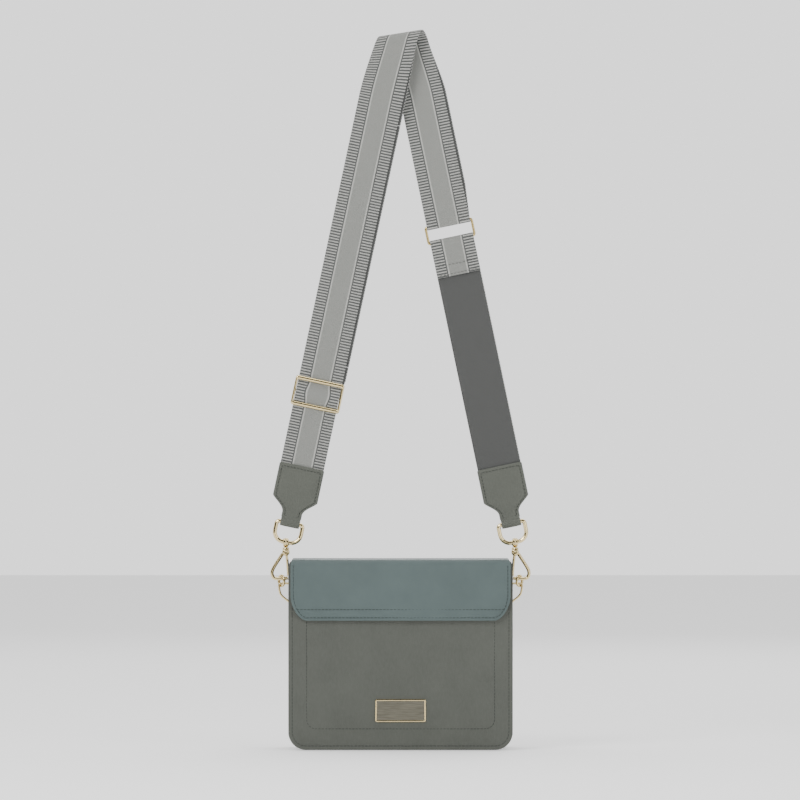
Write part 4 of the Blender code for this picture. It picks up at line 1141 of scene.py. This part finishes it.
def make_bridge(side):
    """The strip riveted to the gusset and the hooked loop that the side ring hangs in."""
    name = side_name(side)
    low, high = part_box("bridge_" + name)
    ring_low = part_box("side_ring_" + name)[0].z
    pivot = ring_low + 3.3 * MM
    face = GUSSET_X + GAP
    reach = (high.x if side > 0 else -low.x) - face - 1.0 * MM
    line = [(0.6, pivot), (reach / MM - 2.5, pivot), (reach / MM, pivot), (reach / MM, pivot - 5 * MM),
            (reach / MM - 1.5, pivot - 11 * MM), (2.5, pivot - 16.5 * MM), (0.6, pivot - 18.5 * MM)]
    loop = round_wire("loop", [(side * (face + x * MM), 0, z) for x, z in line], 1.0 * MM)
    bm = bmesh.new()
    bmesh.ops.create_cube(bm, size=1)
    for vert in bm.verts:
        vert.co = Vector((side * (face + 0.5 * MM) + vert.co.x * MM, vert.co.y * 7 * MM,
                          (low.z + high.z) / 2 + vert.co.z * (high.z - low.z)))
    bmesh.ops.bevel(bm, geom=bm.edges[:], offset=0.35 * MM, segments=2, affect="EDGES")
    strip = new_piece("strip", bm, "gold")
    bridge = joined("bridge_metal_" + name, [loop, strip], "gold")
    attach(bridge, "bag")
    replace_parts(bridge, "bridge_" + name)


def make_plate():
    """The blank name plate: a raised, rounded border round a brushed field."""
    low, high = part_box("name_plate")
    front = low.y
    centre = (low.z + high.z) / 2 - BASE
    half, tall = (high.x - low.x) / 2, (high.z - low.z) / 2
    back = FRONT - 0.15 * MM
    steps = ((0, back), (0, front + 0.35 * MM), (0.12 * MM, front + 0.1 * MM), (0.35 * MM, front),
             (1.0 * MM, front), (1.25 * MM, front + 0.1 * MM), (1.4 * MM, front + 0.38 * MM))
    bm = bmesh.new()
    rings = []
    for inset, y in steps:
        radius = max(1.6 * MM - inset, 0.3 * MM)
        points = outline_of(half - inset, -tall + inset, tall - inset, radius, radius, 5)[1:-1]
        rings.append([bm.verts.new(above_base(x, y, centre + z)) for x, z in points])
    for ring, inner in zip(rings, rings[1:]):
        for k in range(len(ring)):
            bm.faces.new((ring[k - 1], ring[k], inner[k], inner[k - 1]))
    field = bm.faces.new(rings[-1])
    field.material_index = 1
    bm.faces.new(rings[0][::-1])
    plate = new_piece("plate", bm, "gold", 30)
    plate.data.materials.append(MATERIALS["plate_field"])
    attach(plate, "bag")
    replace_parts(plate, "name_plate")


# Cloth inside the bag ----------------------------------------------------------------------------


def make_cloth(node, body):
    """A cloth piece cut finer and slightly rumpled."""
    bm = bmesh.new()
    bm.from_mesh(NODES[node].data)
    bmesh.ops.triangulate(bm, faces=bm.faces)
    for _ in range(6):
        long_edges = [edge for edge in bm.edges if edge.calc_length() > 7 * MM]
        if not long_edges:
            break
        bmesh.ops.subdivide_edges(bm, edges=long_edges, cuts=1)
        bmesh.ops.triangulate(bm, faces=bm.faces)
    for vert in bm.verts:
        vert.co += noise.noise_vector(vert.co * 45) * 0.2 * MM
    made = new_piece(node + "_cloth", bm, "lining", 40)
    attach(made, body)
    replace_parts(made, node)


def dress_frame():
    """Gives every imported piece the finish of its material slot."""
    for node in NODES.values():
        for place in node.material_slots:
            name = place.material.name.split(".")[0]
            place.material = MATERIALS["gold" if name == "plate_metal" else FINISHES.get(name, name)]


FINISHES = {"webbing_reverse": "webbing"}

for each_side in (-1, 1):
    make_tab(each_side)
make_bag_body()
make_flap()
make_metal()
make_slider()
for each_side in (-1, 1):
    make_swivel(each_side)
    make_rivet(each_side)
    make_hook(each_side)
    make_side_ring(each_side)
    make_bridge(each_side)
make_plate()
for cloth_node in ("lining", "inner_slip_pocket", "front_pocket_cloth"):
    make_cloth(cloth_node, "bag")
make_cloth("flap_lining", "flap")
dress_frame()


# Stage -------------------------------------------------------------------------------------------


def make_stage():
    floor = bpy.data.objects.new("floor", bpy.data.meshes.new("floor"))
    bm = bmesh.new()
    bmesh.ops.create_grid(bm, x_segments=1, y_segments=1, size=6.0)
    bm.to_mesh(floor.data)
    bm.free()
    floor.location.z = BASE - 0.5 * MM
    bpy.context.scene.collection.objects.link(floor)
    s = Shader("floor", 0.9)
    s.out.inputs["Emission Color"].default_value = (1, 1, 1, 1)
    s.out.inputs["Emission Strength"].default_value = 0.35
    floor.data.materials.append(s.finish((0.93, 0.93, 0.93)))
    world = bpy.data.worlds.new("studio")
    world.use_nodes = True
    nodes, links = world.node_tree.nodes, world.node_tree.links
    split, fade = nodes.new("ShaderNodeSeparateXYZ"), nodes.new("ShaderNodeMapRange")
    links.new(nodes.new("ShaderNodeTexCoord").outputs["Generated"], split.inputs[0])
    links.new(split.outputs["Y"], fade.inputs["Value"])
    for key, value in (("From Min", -0.6), ("From Max", 0.5), ("To Min", 0.06), ("To Max", 1.6)):
        fade.inputs[key].default_value = value
    links.new(fade.outputs[0], nodes["Background"].inputs["Strength"])
    nodes["Background"].inputs["Color"].default_value = (1, 1, 1, 1)
    bpy.context.scene.world = world
    middle = above_base(0, 0, 0.3)
    lights = (("key", (-1.4, -2.2, 1.6), 1.2, 48), ("fill", (1.8, -2.0, 0.6), 1.6, 22),
              ("top", (0.1, -0.4, 1.8), 1.0, 12), ("rear", (0.4, 2.2, 1.2), 1.4, 12))
    for name, offset, size, watts in lights:
        data = bpy.data.lights.new(name, "AREA")
        data.size, data.energy = size, watts
        made = bpy.data.objects.new(name, data)
        made.location = middle + Vector(offset)
        made.rotation_euler = (middle - made.location).to_track_quat("-Z", "Y").to_euler()
        bpy.context.scene.collection.objects.link(made)


def make_camera():
    """A long lens, level with the middle of the whole bag and strap."""
    data = bpy.data.cameras.new("camera")
    data.lens, data.sensor_width = 300, 36
    made = bpy.data.objects.new("camera", data)
    width = 727.3 * MM
    made.location = above_base(-0.5 * MM, -width * data.lens / data.sensor_width, 316.4 * MM)
    made.rotation_euler = (math.radians(90), 0, 0)
    bpy.context.scene.collection.objects.link(made)
    bpy.context.scene.camera = made


make_stage()
make_camera()
